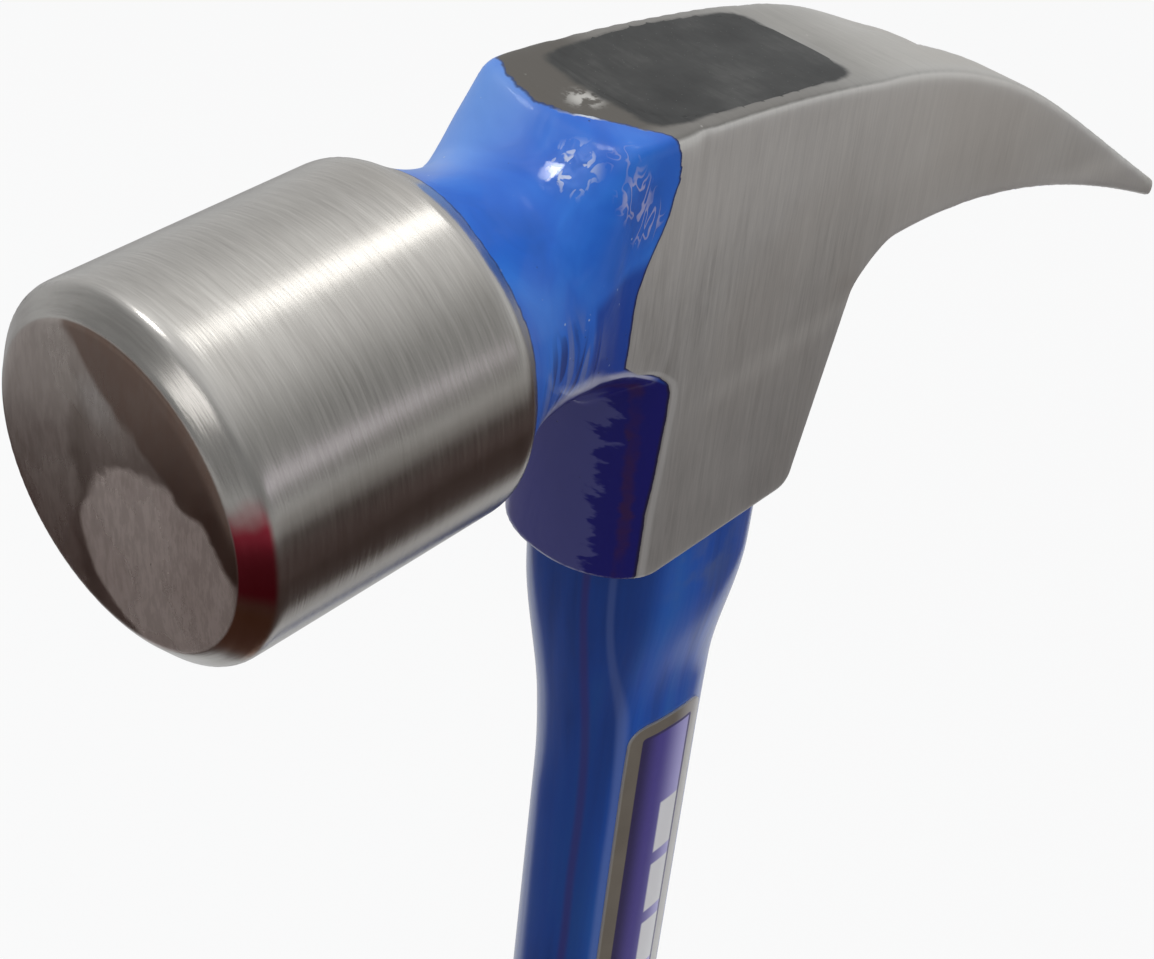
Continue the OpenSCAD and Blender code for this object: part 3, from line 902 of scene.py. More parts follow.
def jacket_reach(z):
    """Front reach, rear reach, half width and squareness of the jacket at a height"""
    front = ease((z - EYE_Z + FLARE_FRONT) / FLARE_FRONT)
    rear = ease((z - EYE_Z + FLARE_REAR) / (FLARE_REAR - SHOULDER_HOLD))
    side = ease((z - EYE_Z + FLARE_SIDE) / (FLARE_SIDE - SHOULDER_HOLD))
    return (SHAFT_L + (SHOULDER_FRONT - SHAFT_L) * front, SHAFT_L + (SHOULDER_REAR - SHAFT_L) * rear,
            SHAFT_W + (SHOULDER_W - SHAFT_W) * side, SHAFT_POWER + 0.4 * front)


def jacket_side(x, z):
    """Half width of the jacket at a place along and a height"""
    front, rear, wide, power = jacket_reach(z)
    return wide * np.clip(1 - np.abs(x / np.where(x < 0, front, rear)) ** power, 0, 1) ** (1 / power)


def jacket_mesh():
    """The jacket's skin, with its bore for the rod"""
    start = EYE_Z - SHOULDER_L
    heights = np.concatenate([np.linspace(FLOOR, start - 1, 40), np.linspace(start, EYE_Z, 56)])
    bore = oval(BORE_L, BORE_L, BORE_W, SHAFT_POWER, RING_N)
    rings = [at_height(oval(*jacket_reach(z), RING_N), z) for z in heights]
    rings += [at_height(bore, z) for z in (EYE_Z, FLOOR)]
    points, faces = loft(rings, close=False)
    last = (len(rings) - 1) * RING_N
    faces += [(last + i, last + (i + 1) % RING_N, (i + 1) % RING_N, i) for i in range(RING_N)]
    return points, faces


def film_half(down):
    """Half the label's width so far down from its top, less at its round corners"""
    past = np.clip(np.maximum(LABEL_CORNER - down, down - (LABEL_L - LABEL_CORNER)), 0, LABEL_CORNER)
    return LABEL_HALF - LABEL_CORNER + np.sqrt(LABEL_CORNER ** 2 - past ** 2)


def film_side(sign, lift):
    """One face of a film: its points over the jacket, and the same points on the flat label"""
    straight = np.linspace(LABEL_CORNER, LABEL_L - LABEL_CORNER, 60)
    downs = np.concatenate([np.linspace(0, LABEL_CORNER, 9)[:-1], straight,
                            np.linspace(LABEL_L - LABEL_CORNER, LABEL_L, 9)[1:]])
    across = np.linspace(-LABEL_HALF, LABEL_HALF, FILM_COLS)
    points, flat = [], []
    for down in downs:
        xs = across / LABEL_HALF * film_half(down)
        z = LABEL_TOP - down + LABEL_SLANT * (1 - down / LABEL_L) * (LABEL_HALF - xs) / (2 * LABEL_HALF)
        points.append(np.column_stack([xs, sign * (jacket_side(xs, z) + lift), z]))
        flat.append(np.column_stack([xs, np.full(FILM_COLS, down)]))
    return np.concatenate(points), np.concatenate(flat)


def film_faces(rows, cols, sign):
    """Quads over a film's outer and inner faces and round its rim, facing outwards"""
    faces = []
    for r in range(rows - 1):
        for c in range(cols - 1):
            a, b = r * cols + c, r * cols + c + 1
            outer = (a, b, b + cols, a + cols)
            faces += [outer, tuple(rows * cols + k for k in outer[::-1])]
    rim = [*range(cols)]
    rim += [r * cols + cols - 1 for r in range(1, rows)]
    rim += [(rows - 1) * cols + c for c in range(cols - 2, -1, -1)]
    rim += [r * cols for r in range(rows - 2, 0, -1)]
    faces += [(b, a, a + rows * cols, b + rows * cols) for a, b in zip(rim, rim[1:] + rim[:1])]
    return faces if sign < 0 else [face[::-1] for face in faces]


def film_mesh(sign):
    """A label's film on one side of the jacket, with each point's place on the flat label"""
    outer, flat = film_side(sign, FILM_T)
    inner, _ = film_side(sign, FILM_SEAT)
    half = np.array((LABEL_HALF - LABEL_CORNER, LABEL_L / 2 - LABEL_CORNER))
    inset = np.abs(flat - (0, LABEL_L / 2)) - half
    edge = LABEL_CORNER - np.hypot(*np.maximum(inset, 0).T) - np.minimum(np.max(inset, axis=1), 0)
    attributes = {"across": np.tile(flat[:, 0], 2), "along": np.tile(flat[:, 1], 2), "edge": np.tile(edge, 2)}
    faces = film_faces(len(outer) // FILM_COLS, FILM_COLS, sign)
    return np.concatenate([outer, inner]), faces, attributes


def grip_half(share, axis):
    """Half the grip's section at a share of its length"""
    shares, swells, covers = zip(*GRIP_ROWS)
    butt, palm, shaft = BUTT_HALF[axis], PALM_HALF[axis], SHAFT_HALF[axis]
    swelled = butt + (palm - butt) * np.interp(share, shares, swells)
    return shaft + (swelled - shaft) * np.interp(share, shares, covers)


def smoothed(values):
    """A row of values without kinks"""
    kernel = np.hanning(41) / np.hanning(41).sum()
    return np.convolve(np.pad(values, 20, mode="edge"), kernel, "valid")


def grip_mesh():
    """The grip's sleeve before its grooves: round foot, swelled palm and a collar on the jacket"""
    rings = []
    for t in np.radians(np.linspace(0, 90, 10)):
        inset = BUTT_FOOT * (1 - math.sin(t))
        a, b = (grip_half(GRIP_START, axis) - inset for axis in (X, Y))
        rings.append(at_height(oval(a, a, b, GRIP_POWER, RING_N), BUTT_FOOT * (1 - math.cos(t))))
    shares = np.linspace(0.03, 1, 260)
    halves = (smoothed(np.array([grip_half(s, axis) for s in shares])) for axis in (X, Y))
    for share, a, b in zip(shares, *halves):
        rings.append(at_height(oval(a, a, b, GRIP_POWER, RING_N), share * GRIP_L))
    inner = oval(SHAFT_L + COLLAR_GAP, SHAFT_L + COLLAR_GAP, SHAFT_W + COLLAR_GAP, SHAFT_POWER, RING_N)
    rings += [at_height(inner, GRIP_L), at_height(inner, FLOOR)]
    return loft(rings)


def groove_tree():
    """Presses a row of round-bottomed grooves into a sleeve, with the depth at each place kept as a number"""
    group = bpy.data.node_groups.new("press grooves", "GeometryNodeTree")
    given = {"Sleeve": "Geometry", "Grooves": "Int", "Depth": "Float", "Width": "Float", "Lowest": "Float",
             "Highest": "Float", "Finish": "Material"}
    for name, kind in given.items():
        group.interface.new_socket(name, in_out="INPUT", socket_type="NodeSocket" + kind)
    group.interface.new_socket("Sleeve", in_out="OUTPUT", socket_type="NodeSocketGeometry")
    nodes = Nodes(group)
    sleeve = nodes.add("NodeGroupInput")
    count, depth, width, lowest, highest, finish = (sleeve.beside(name) for name in [*given][1:])
    z = nodes.add("ShaderNodeSeparateXYZ", {}, [nodes.add("GeometryNodeInputPosition")], "Z")
    pitch = (highest - lowest) / (count - 1.0)
    place = (z - lowest) / pitch
    nearest = round(place).high(0.0).low(count - 1.0)
    ratio = (abs(place - nearest) * pitch / (width * 0.5)).low(1.0)
    dip = (1.0 - ratio * ratio) ** 0.6
    marked = nodes.add("GeometryNodeStoreNamedAttribute", {"data_type": "FLOAT", "domain": "POINT"},
                       {"Geometry": sleeve, "Name": "rib", "Value": dip})
    inwards = {0: nodes.add("GeometryNodeInputNormal"), "Scale": dip * depth * -1.0}
    push = nodes.add("ShaderNodeVectorMath", {"operation": "SCALE"}, inwards)
    moved = nodes.add("GeometryNodeSetPosition", {}, {"Geometry": marked, "Offset": push})
    real = nodes.add("GeometryNodeRealizeInstances", {}, [moved])
    dressed = nodes.add("GeometryNodeSetMaterial", {}, {"Geometry": real, "Material": finish})
    nodes.add("NodeGroupOutput", {}, [dressed])
    return group


def grooved(blank, sizes, finish):
    """The blank sleeve as a plain mesh, with its grooves pressed in"""
    modifier = blank.modifiers.new("press grooves", "NODES")
    modifier.node_group = groove_tree()
    wanted = {"Grooves": sizes.groove_count, "Depth": sizes.groove_depth, "Width": sizes.groove_width,
              "Lowest": sizes.groove_low, "Highest": sizes.groove_high, "Finish": finish}
    for item in modifier.node_group.interface.items_tree:
        if item.in_out == "INPUT" and item.name in wanted:
            modifier[item.identifier] = wanted[item.name]
    bpy.context.view_layer.update()
    mesh = bpy.data.meshes.new_from_object(blank.evaluated_get(bpy.context.evaluated_depsgraph_get()))
    bpy.data.objects.remove(blank)
    return mesh


# Ground steel of the head. Places are in metres above the butt

AXIS_M = AXIS_Z * MM
CLAW_STEEL, TIP_STEEL, CHEEK_UPPER_SHEEN = (0.9, 0.865, 0.8), (0.66, 0.63, 0.5), (0.9, 0.865, 0.81)
HANDLED_STEEL, WORN_RIDGE_SHEEN, BROWN_STAIN = (0.5, 0.44, 0.37), (0.78, 0.77, 0.75), (0.3, 0.2, 0.13)
POLL_STEEL, POLL_DARK_REFLECTION = (0.42, 0.39, 0.35), (0.2, 0.175, 0.145)
BEVEL_STEEL, BEVEL_RED_REFLECTION, BEVEL_RUST = (0.3, 0.29, 0.285), (0.33, 0.006, 0.03), (0.33, 0.13, 0.045)
TOP_DULL, PALE_SPECK = (0.135, 0.123, 0.108), (0.72, 0.7, 0.66)
CHEEK_LOW_SHADE, CHEEK_RIM_HIGHLIGHT = (0.2, 0.18, 0.17), (0.86, 0.85, 0.82)
PLATE_DARK, PLATE_PALE, PLATE_SEAM = (0.4, 0.35, 0.32), (0.47, 0.425, 0.39), (0.2, 0.16, 0.135)
PLATE_MIDDLE, PLATE_HIGHLIGHT, PLATE_DARK_REFLECTION = (0.23, 0.18, 0.155), (0.6, 0.58, 0.56), (0.17, 0.11, 0.085)
PLATE_PALE_REFLECTION, PLATE_SCUFF = (0.66, 0.57, 0.53), (0.2, 0.165, 0.145)
STAIN_AT, PLATE_HIGHLIGHT_AT, SCAR_AT = (0.0155, -0.0096, 0.3745), (-0.0703, 0.0012, 0.3982), (-0.0172, 0.0002, 0.4058)
PALE_REFLECTION_AT = (0, -0.0053, 0.3847)


class HeadShader(Shader):
    """The head's material, with the places and patterns that its steel and its enamel share"""

    def __init__(self):
        super().__init__("ground steel and enamel", (0.5, 0.5, 0.5))
        self.x, self.y, self.z = self.axes()
        self.edge = self.attribute("paint_edge")
        # grinding lines run round the poll and up the cheeks
        self.fine = self.noise((5200, 260, 260), 2.0, 0.6)
        self.lines = self.noise((1500, 60, 60), 4.0, 0.65)
        self.patches = self.noise(95.0, 4.0, 0.6)
        self.broad = self.noise(32.0, 2.0, 0.5)
        self.scuffs = self.noise((420, 1500, 420), 3.0, 0.7)
        self.smear = self.noise((60, 60, 60), 3.0, 0.55, 1.2, shift=(0.0, 3.1, 1.7))
        self.clouded = self.step(self.smear, 0.32, 0.68)
        from_axis = self.vector_math("ADD", self.scaled(0, 1, 1), (0, 0, -AXIS_M))
        radius = self.vector_math("LENGTH", from_axis, output="Value")
        self.face = self.step(self.x, -0.0678, -0.0684) * self.step(radius, 0.0147, 0.01445)
        self.bevel = self.step(self.x, -0.0676, -0.0682) * (1 - self.face)
        self.block = self.step(self.x, -0.034, -0.02)
        self.poll = self.step(self.x, -0.034, -0.042)
        # the top is ground flat, and duller round the eye's mouth
        self.top = self.step(self.attribute("up"), 0.45, 0.8) * self.block
        self.dull = self.top * self.step(self.x + (self.patches - 0.5) * 0.01, 0.034, -0.006)
        mouth = self.attribute("eye_edge") + (self.noise(420.0, 3.0, 0.6) - 0.5) * 1.3
        self.wash = self.step(mouth, 0.75, -0.35) * self.top


def ground_steel(m, colours):
    """Fine grinding lines, warmer over the claws, paler on worn ridges where a highlight is painted along the
    edges, with a brown smear on the cheek
    """
    grain = m.lines * 0.34 + m.fine * (0.3 + m.poll * 0.16) + m.patches * 0.2 + m.broad * 0.24 - m.poll * 0.08
    steel = m.ramp(grain, (0.37, toned(colours.steel, 0.7)), (0.53, tuple(colours.steel)),
                   (0.69, toned(colours.steel, 1.26)))
    steel = m.mix(m.step(m.x, 0.004, 0.03) * 0.5, steel, CLAW_STEEL)
    steel = m.mix(m.step(m.x, 0.0645, 0.0672) * 0.4, steel, TIP_STEEL)
    steel = m.mix(m.step(m.broad, 0.5, 0.7) * 0.22, steel, HANDLED_STEEL)
    # worn edges, painted paler as a highlight running along them
    steel = m.mix(m.attribute("ridge") * 0.4, steel, WORN_RIDGE_SHEEN)
    stain = m.near(STAIN_AT, 0.0005, 0.0042) * m.step(m.patches, 0.35, 0.6)
    return m.mix(stain * 0.4, steel, BROWN_STAIN)


def poll_steel(m, steel):
    """Brown streaks on the poll's lower half, painted as a dark reflection, and a red smear painted as a
    reflection and a brown one of rust on its lower bevel
    """
    turn = m.add("ShaderNodeMath", {"operation": "ARCTAN2"}, [m.z - AXIS_M, m.y * -1.0])
    turn = turn + (m.patches - 0.5) * 0.4
    # a reddish reflection painted on the lower bevel
    red_reflection = m.step(turn, 0.52, 0.28) * m.step(turn, -0.28, -0.05)
    rust = m.step(turn, -0.05, -0.28) * m.step(turn, -0.8, -0.55)
    steel = m.mix(m.poll * 0.5, steel, POLL_STEEL)
    # brushed streaks painted dark on the poll's lower half as a dark reflection
    reflection_streaks = m.step(m.noise((16, 190, 190), 2.0, 0.5), 0.38, 0.6) * m.step(m.z, 0.403, 0.392)
    steel = m.mix(m.poll * reflection_streaks * 0.5, steel, POLL_DARK_REFLECTION)
    steel = m.mix(m.bevel * 0.2, steel, BEVEL_STEEL)
    steel = m.mix(m.bevel * red_reflection * 0.93, steel, BEVEL_RED_REFLECTION)
    return m.mix(m.bevel * rust * 0.8, steel, BEVEL_RUST)


def face_plate(m, warp, outside):
    """The polished face: a dark reflection painted above, a soft pale reflection of grey painted below as a
    lens and a dark seam beside it, with a painted highlight
    """
    plate = m.mix(m.clouded, PLATE_DARK, PLATE_PALE)
    seam = m.step(abs(m.y - 0.0036 + warp * 1.2), 0.0019, 0.0002) * m.step(m.z, 0.404, 0.396)
    plate = m.mix(seam * outside * 0.7, plate, PLATE_SEAM)
    middle = m.step(m.y + warp, 0.0036, 0.0022) * outside
    plate = m.mix(middle * 0.4, plate, PLATE_MIDDLE)
    # a painted highlight on the face
    plate = m.mix(m.near(PLATE_HIGHLIGHT_AT, 0.0008, 0.0036) * 0.5, plate, PLATE_HIGHLIGHT)
    slant = m.y * -0.587 + (m.z - AXIS_M) * 0.81 - 0.0074
    # a dark reflection painted over the upper face
    dark_reflection = outside.low(m.step(slant + warp, -0.0004, 0.0007))
    plate = m.mix(dark_reflection * 0.9, plate, PLATE_DARK_REFLECTION)
    # a pale reflection painted below as a soft grey lens
    plate = m.mix((1 - outside) * 0.75, plate, PLATE_PALE_REFLECTION)
    return m.mix(m.step(m.scuffs, 0.62, 0.4) * 0.25, plate, PLATE_SCUFF)


def top_steel(m, steel):
    """The ground top, with pale specks and a scar; a dark wash of epoxy squares off the eye's mouth; the
    upper cheeks are painted paler as light falling on them
    """
    # upper cheeks painted paler, a painted sheen of light
    steel = m.mix(m.step(m.z, 0.378, 0.4) * m.block * (1 - m.top) * 0.4, steel, CHEEK_UPPER_SHEEN)
    front = m.step(m.x, -0.006, -0.013) * m.step(m.y, -0.0082, -0.0055)
    steel = m.mix(m.top * 0.28 + m.dull * (0.5 + front * 0.26), steel, TOP_DULL)
    specks = m.step(m.cells(640.0), 0.13, 0.04) * m.step(m.noise(160.0, 2.0, 0.5), 0.54, 0.64) * m.dull
    scar = m.near(SCAR_AT, 0.0004, 0.0026) * m.step(m.noise(900.0, 3.0, 0.6), 0.4, 0.55)
    steel = m.mix((specks + scar).low(1.0) * 0.75, steel, PALE_SPECK)
    return m.mix(m.wash, steel, epoxy_colour(m))


def cheek_steel(m, steel):
    """The cheeks are painted darker downwards as shade, past one soft pale band of painted light, and a
    painted highlight runs along the edge of the skirt's enamel
    """
    # painted shade, darker down the cheeks
    low_shade = m.step(m.z, 0.4, 0.352) * m.block
    # one band left paler, painted light
    band = m.step(abs(m.z - 0.3725 - (m.x - 0.004) * 0.05), 0.0028, 0.0) * m.step(m.x, -0.012, 0.002) * 0.16
    steel = m.mix((low_shade * 0.42 - band).high(0.0) * (1 - m.top), steel, CHEEK_LOW_SHADE)
    # a painted highlight along the enamel's edge
    rim = m.step(m.edge, -1.1, -0.6) * m.step(m.edge, -0.05, -0.3)
    rim = rim * m.step(m.z, 0.381, 0.379) * m.step(m.x, 0.004, 0.0)
    return m.mix(rim * 0.4, steel, CHEEK_RIM_HIGHLIGHT)


def bare_steel(m, colours):
    """Steel wherever the forging was ground"""
    warp = (m.smear - 0.5) * 0.006 + (m.broad - 0.5) * 0.002
    # the pale reflection painted on the face is measured from here
    from_pale_reflection = m.vector_math("DISTANCE", m.scaled(0, 1, 1), PALE_REFLECTION_AT, output="Value")
    outside = m.step(from_pale_reflection + warp, 0.0088, 0.0098)
    steel = poll_steel(m, ground_steel(m, colours))
    steel = m.mix(m.face, steel, face_plate(m, warp, outside))
    steel = cheek_steel(m, top_steel(m, steel))
    rough = 0.15 + m.fine * 0.06 + m.lines * 0.08 + m.patches * 0.05 + m.block * 0.2
    rough = rough * (1 - m.face) + m.face * (0.17 + m.clouded * 0.1 + m.scuffs * 0.05)
    rough = (rough + m.dull * 0.15) * (1 - m.wash) + m.wash * 0.58
    height = (m.fine * (0.6 + m.poll * 0.3) + m.lines * (0.9 - m.poll * 0.35)) * (1 - m.face * 0.85)
    grain = m.bump(height + m.scuffs * m.face * 0.05, 0.00003, 0.4 + m.poll * 0.1)
    metal = (1 - m.block * 0.5) * (1 - m.wash) * (1 - m.face * (1 - outside) * 0.3)
    return m.surface(base=steel, rough=rough, metal=metal, normal=grain)


# Enamel of the head

ENAMEL_PALE, ENAMEL_FAR_LIGHT, ENAMEL_LOW_SHADE = (0.028, 0.21, 0.8), (0.24, 0.45, 0.92), (0.003, 0.03, 0.3)
ENAMEL_FACET_SHADE, ENAMEL_EDGE, ENAMEL_RIM_HIGHLIGHT = (0.0, 0.036, 0.33), (0.016, 0.01, 0.022), (0.5, 0.49, 0.6)
ENAMEL_FLECK, ENAMEL_PIT = (0.55, 0.68, 0.9), (0.006, 0.012, 0.05)
ENAMEL_WORM_REFLECTION, ENAMEL_GLINT, ENAMEL_CHIP_HIGHLIGHT = (0.46, 0.46, 0.76), (0.85, 0.9, 0.95), (0.75, 0.8, 0.95)
FOLD_HIGHLIGHT, FOLD_SHADE = (0.2, 0.25, 0.5), (0.002, 0.008, 0.12)
SKIRT_SHADE, SKIRT_VIOLET_REFLECTION, SKIRT_RUN = (0.001, 0.0015, 0.16), (0.055, 0.058, 0.225), (0.05, 0.008, 0.05)
# Wet runs down the near corner, whose fine lines are painted as pale reflections: each one's place, and how
# far it is full and where it ends
WET_RUNS = (((-0.0205, -0.0078, 0.4042), 0.0006, 0.0022), ((-0.0206, -0.0094, 0.4016), 0.0012, 0.003),
            ((-0.0186, -0.0097, 0.3982), 0.001, 0.0028))
CRINKLE_AT, FOLDS_AT = (-0.0238, -0.0048, 0.4034), (-0.0305, -0.0115, 0.3880)
GLINT_AT = (-0.0197, -0.0042, 0.4056)


def ragged_edge(m):
    """Distance inside the enamel, ragged where it was ground away"""
    loose = (m.step(m.z, 0.3995, 0.402) + m.step(m.x, -0.0355, -0.0375)).low(1.0)
    ragged = (m.noise(260.0, 4.0, 0.6) - 0.5) * (0.25 + loose * 0.75)
    return m.edge + (ragged + (m.noise(1100.0, 2.0, 0.5) - 0.5) * (0.12 + loose * 0.5))


def neck_enamel(m, flow, low, colours):
    """Deep blue, painted paler on the far side as light and darker below as shade, with one facet before the
    cheek painted in shade
    """
    deep = m.ramp(flow * 0.6 + m.noise(60.0, 2.0, 0.5) * 0.4, (0.36, toned(colours.paint, 0.8)),
                  (0.5, tuple(colours.paint)), (0.66, ENAMEL_PALE))
    # the far side painted paler as light
    far = m.step(m.y, -0.002, 0.008) * m.step(m.x, -0.017, -0.022)
    deep = m.mix(far * 0.72, deep, ENAMEL_FAR_LIGHT)
    # the lower neck painted darker as shade
    deep = m.mix(m.step(m.z, 0.3935, 0.3855) * 0.4, deep, ENAMEL_LOW_SHADE)
    wander = m.broad - 0.5
    # one facet painted darker as shade
    shaded_facet = m.step(m.z + wander * 0.004, 0.3945, 0.3925) * m.step(m.x + wander * 0.003, -0.0272, -0.0264)
    shaded_facet = shaded_facet * m.step(m.y, -0.006, -0.0085)
    return m.mix(shaded_facet * (1 - low) * 0.68, deep, ENAMEL_FACET_SHADE)


def skirt_shaded_enamel(m):
    """Painted nearly black below the neck as shade, with a clouded violet reflection painted on its far half,
    and one brown run
    """
    jag = m.noise((230, 230, 560), 3.0, 0.6) - 0.5
    # a violet reflection painted on the far half
    violet_reflection = m.step(m.y + jag * 0.009, -0.0056, -0.0046)
    run = m.step(abs(m.y + 0.0076 + jag * 0.0012 + (m.broad - 0.5) * 0.002), 0.0007, 0.0002)
    # near black painted as shade under the neck
    skirt = m.mix(violet_reflection, SKIRT_SHADE, SKIRT_VIOLET_REFLECTION)
    return m.mix(run * m.step(m.patches, 0.35, 0.55) * 0.7, skirt, SKIRT_RUN)


def lip_rim_highlight(m, under):
    """A painted highlight as a pale rim along the lip between neck and skirt, on the near side"""
    rim = m.step(abs(under - 0.2), 0.75, 0.25) * m.step(m.z, 0.3725, 0.377) * m.step(m.z, 0.3865, 0.3845)
    return rim * m.step(m.x, -0.037, -0.033) * m.step(m.x, -0.0125, -0.0150) * m.step(m.y, 0.0, -0.003)


def wet_marks(m, deep, inside, runs, wet, crinkle):
    """Fine runs in the wet places painted pale as reflections, a painted glint along the brow's thick edge,
    and chips of painted highlight in the crinkled patch
    """
    # fine runs painted pale as reflections
    worm_reflections = m.step(abs(runs - 0.5), 0.045, 0.015) * wet
    deep = m.mix(worm_reflections * 0.82, deep, ENAMEL_WORM_REFLECTION)
    glint = m.step(inside, 0.5, 0.3) * m.step(inside, 0.0, 0.1) * m.near(GLINT_AT, 0.0024, 0.0052)
    deep = m.mix(glint * m.step(m.patches, 0.4, 0.55) * 0.85, deep, ENAMEL_GLINT)
    # chips of painted highlight in the crinkled patch
    highlight_chips = m.step(m.noise((900, 900, 500), 2.0, 0.6, 0.6), 0.56, 0.62) * crinkle
    return m.mix(highlight_chips * 0.8, deep, ENAMEL_CHIP_HIGHLIGHT)


def pooled_folds(m, deep, folds, pooled):
    """Folds where the enamel pooled under the neck: pale crests painted as highlights, dark hollows painted
    as shade
    """
    # fold crests painted pale as highlights
    deep = m.mix(m.step(folds, 0.5, 0.58) * pooled * 0.55, deep, FOLD_HIGHLIGHT)
    # fold hollows painted dark as shade
    return m.mix(m.step(folds, 0.44, 0.38) * pooled * 0.6, deep, FOLD_SHADE)


def blue_enamel(m, inside, colours):
    """Thick and glossy enamel, with runs, bubbles and a dark edge"""
    under = m.attribute("under")
    low = m.step(under, 0.0, 1.0) * m.step(m.x, 0.009, 0.003)
    flow = m.noise((130, 130, 75), 3.0, 0.55, 0.6)
    shade = m.step(inside, 0.42, 0.08)
    flecks = m.step(m.cells(700.0), 0.11, 0.03) * m.step(m.noise(210.0, 1.0, 0.5), 0.56, 0.64)
    pits = m.step(m.cells(420.0, shift=(0.31, 0.07, 0.11)), 0.06, 0.02)
    first, second, third = (m.near(*run) for run in WET_RUNS)
    wet = (first + second + third).low(1.0)
    crinkle = m.near(CRINKLE_AT, 0.0008, 0.0034)
    runs = m.noise((700, 700, 330), 1.0, 0.5, 0.8)
    folds = m.noise((520, 520, 100), 1.0, 0.4, 0.8)
    pooled = m.near(FOLDS_AT, 0.003, 0.0075) * (1 - low)
    deep = m.mix(low, neck_enamel(m, flow, low, colours), skirt_shaded_enamel(m))
    deep = m.mix(shade * 0.8, deep, ENAMEL_EDGE)
    # a highlight painted along the lip
    deep = m.mix(lip_rim_highlight(m, under) * 0.75, deep, ENAMEL_RIM_HIGHLIGHT)
    deep = m.mix(flecks * 0.8 * (1 - low), deep, ENAMEL_FLECK)
    deep = m.mix(pits * 0.85, deep, ENAMEL_PIT)
    deep = pooled_folds(m, wet_marks(m, deep, inside, runs, wet, crinkle), folds, pooled)
    height = flow * 0.5 + runs * (wet * 0.5 + crinkle * 0.7) + folds * pooled * 0.9
    height = height + flecks * 0.1 - pits * 0.1 - shade * 0.06
    coat = 0.12 + (wet + crinkle + pooled * 0.4 + low * 0.3).low(0.88)
    return m.surface(base=deep, rough=0.33 + m.patches * 0.12, metal=0.0, coat=coat, coat_rough=0.06,
                     normal=m.bump(height, 0.001, 0.5), ior=1.5, specular=0.3)


def head_finish(colours):
    """Ground steel with blue enamel where the forging was not ground"""
    m = HeadShader()
    inside = ragged_edge(m)
    cover = m.step(inside, -0.05, 0.05)
    layers = {0: cover, 1: bare_steel(m, colours), 2: blue_enamel(m, inside, colours)}
    return m.finish(m.add("ShaderNodeMixShader", {}, layers))


# Finishes of the bond and the handle

EPOXY_STOPS = ((0.35, (0.014, 0.014, 0.013)), (0.52, (0.033, 0.033, 0.031)), (0.7, (0.08, 0.078, 0.074)))
EPOXY_SPECK = (0.17, 0.17, 0.16)
SEAL_STOPS = ((0.35, (0.01, 0.01, 0.01)), (0.7, (0.035, 0.035, 0.034)))
ROD_STOPS = ((0.36, (0.36, 0.3, 0.16)), (0.52, (0.62, 0.56, 0.38)), (0.68, (0.82, 0.78, 0.62)))
JACKET_PALE, JACKET_FRONT_SHADE, JACKET_HAZE_REFLECTION = (0.006, 0.14, 0.56), (0.0015, 0.02, 0.13), (0.12, 0.17, 0.3)
RED_REFLECTION_LINE, PALE_HIGHLIGHT_LINE = (0.12, 0.012, 0.12), (0.2, 0.3, 0.7)
HAZE_REFLECTION_AT = (-0.0005, -0.0091, 0.3475)
FIELD_PALE, PANEL, BORDER_REFLECTION = (0.6, 0.56, 1.0), (0.97, 0.96, 0.98), (0.82, 0.8, 0.78)
FIELD_LINE, FILM_RIM = (0.03, 0.02, 0.12), (0.55, 0.53, 0.5)
BARS_FROM, BARS_TO, BAR_PITCH = 14.0, 87.0, 5.5  # millimetres down the label
RUBBER_DUST, GROOVE_SHADE = (0.05, 0.05, 0.05), (0.006, 0.006, 0.006)


def epoxy_scratch(m):
    return m.noise((1700, 200, 200), 3.0, 0.6)


def epoxy_colour(m):
    """Cloudy black of the ground epoxy, the same over the fill and the wash round it"""
    return m.ramp(m.noise(130.0, 4.0, 0.6) * 0.7 + epoxy_scratch(m) * 0.3, *EPOXY_STOPS)


def epoxy_finish():
    """Dark epoxy, ground flush with the top and dusty"""
    m = Shader("ground epoxy", (0.08, 0.08, 0.08))
    scratch = epoxy_scratch(m)
    specks = m.step(m.cells(1500.0), 0.12, 0.04)
    base = m.mix(specks * 0.5, epoxy_colour(m), EPOXY_SPECK)
    normal = m.bump(scratch * 0.7 + specks * 0.4, 0.00004, 0.5)
    return m.finish(m.surface(base=base, rough=0.5 + scratch * 0.16, metal=0.0, normal=normal, specular=0.5))


def seal_finish():
    """Black moulded seal with a faint bloom"""
    m = Shader("black seal", (0.05, 0.05, 0.05))
    cloud = m.noise(400.0, 3.0, 0.6)
    normal = m.bump(cloud, 0.00008, 0.5)
    return m.finish(m.surface(base=m.ramp(cloud, *SEAL_STOPS), rough=0.6 + cloud * 0.2, normal=normal))


def core_finish():
    """Pultruded glass fibre: fine strands along the rod under clear resin"""
    m = Shader("glass fibre rod", (0.7, 0.68, 0.55))
    strand = m.noise((2600, 2600, 12), 3.0, 0.6)
    base = m.ramp(strand * 0.7 + m.noise(90.0, 3.0, 0.5) * 0.3, *ROD_STOPS)
    normal = m.bump(strand, 0.00004, 0.6)
    return m.finish(m.surface(base=base, rough=0.32 + strand * 0.2, coat=0.4, coat_rough=0.1, normal=normal))


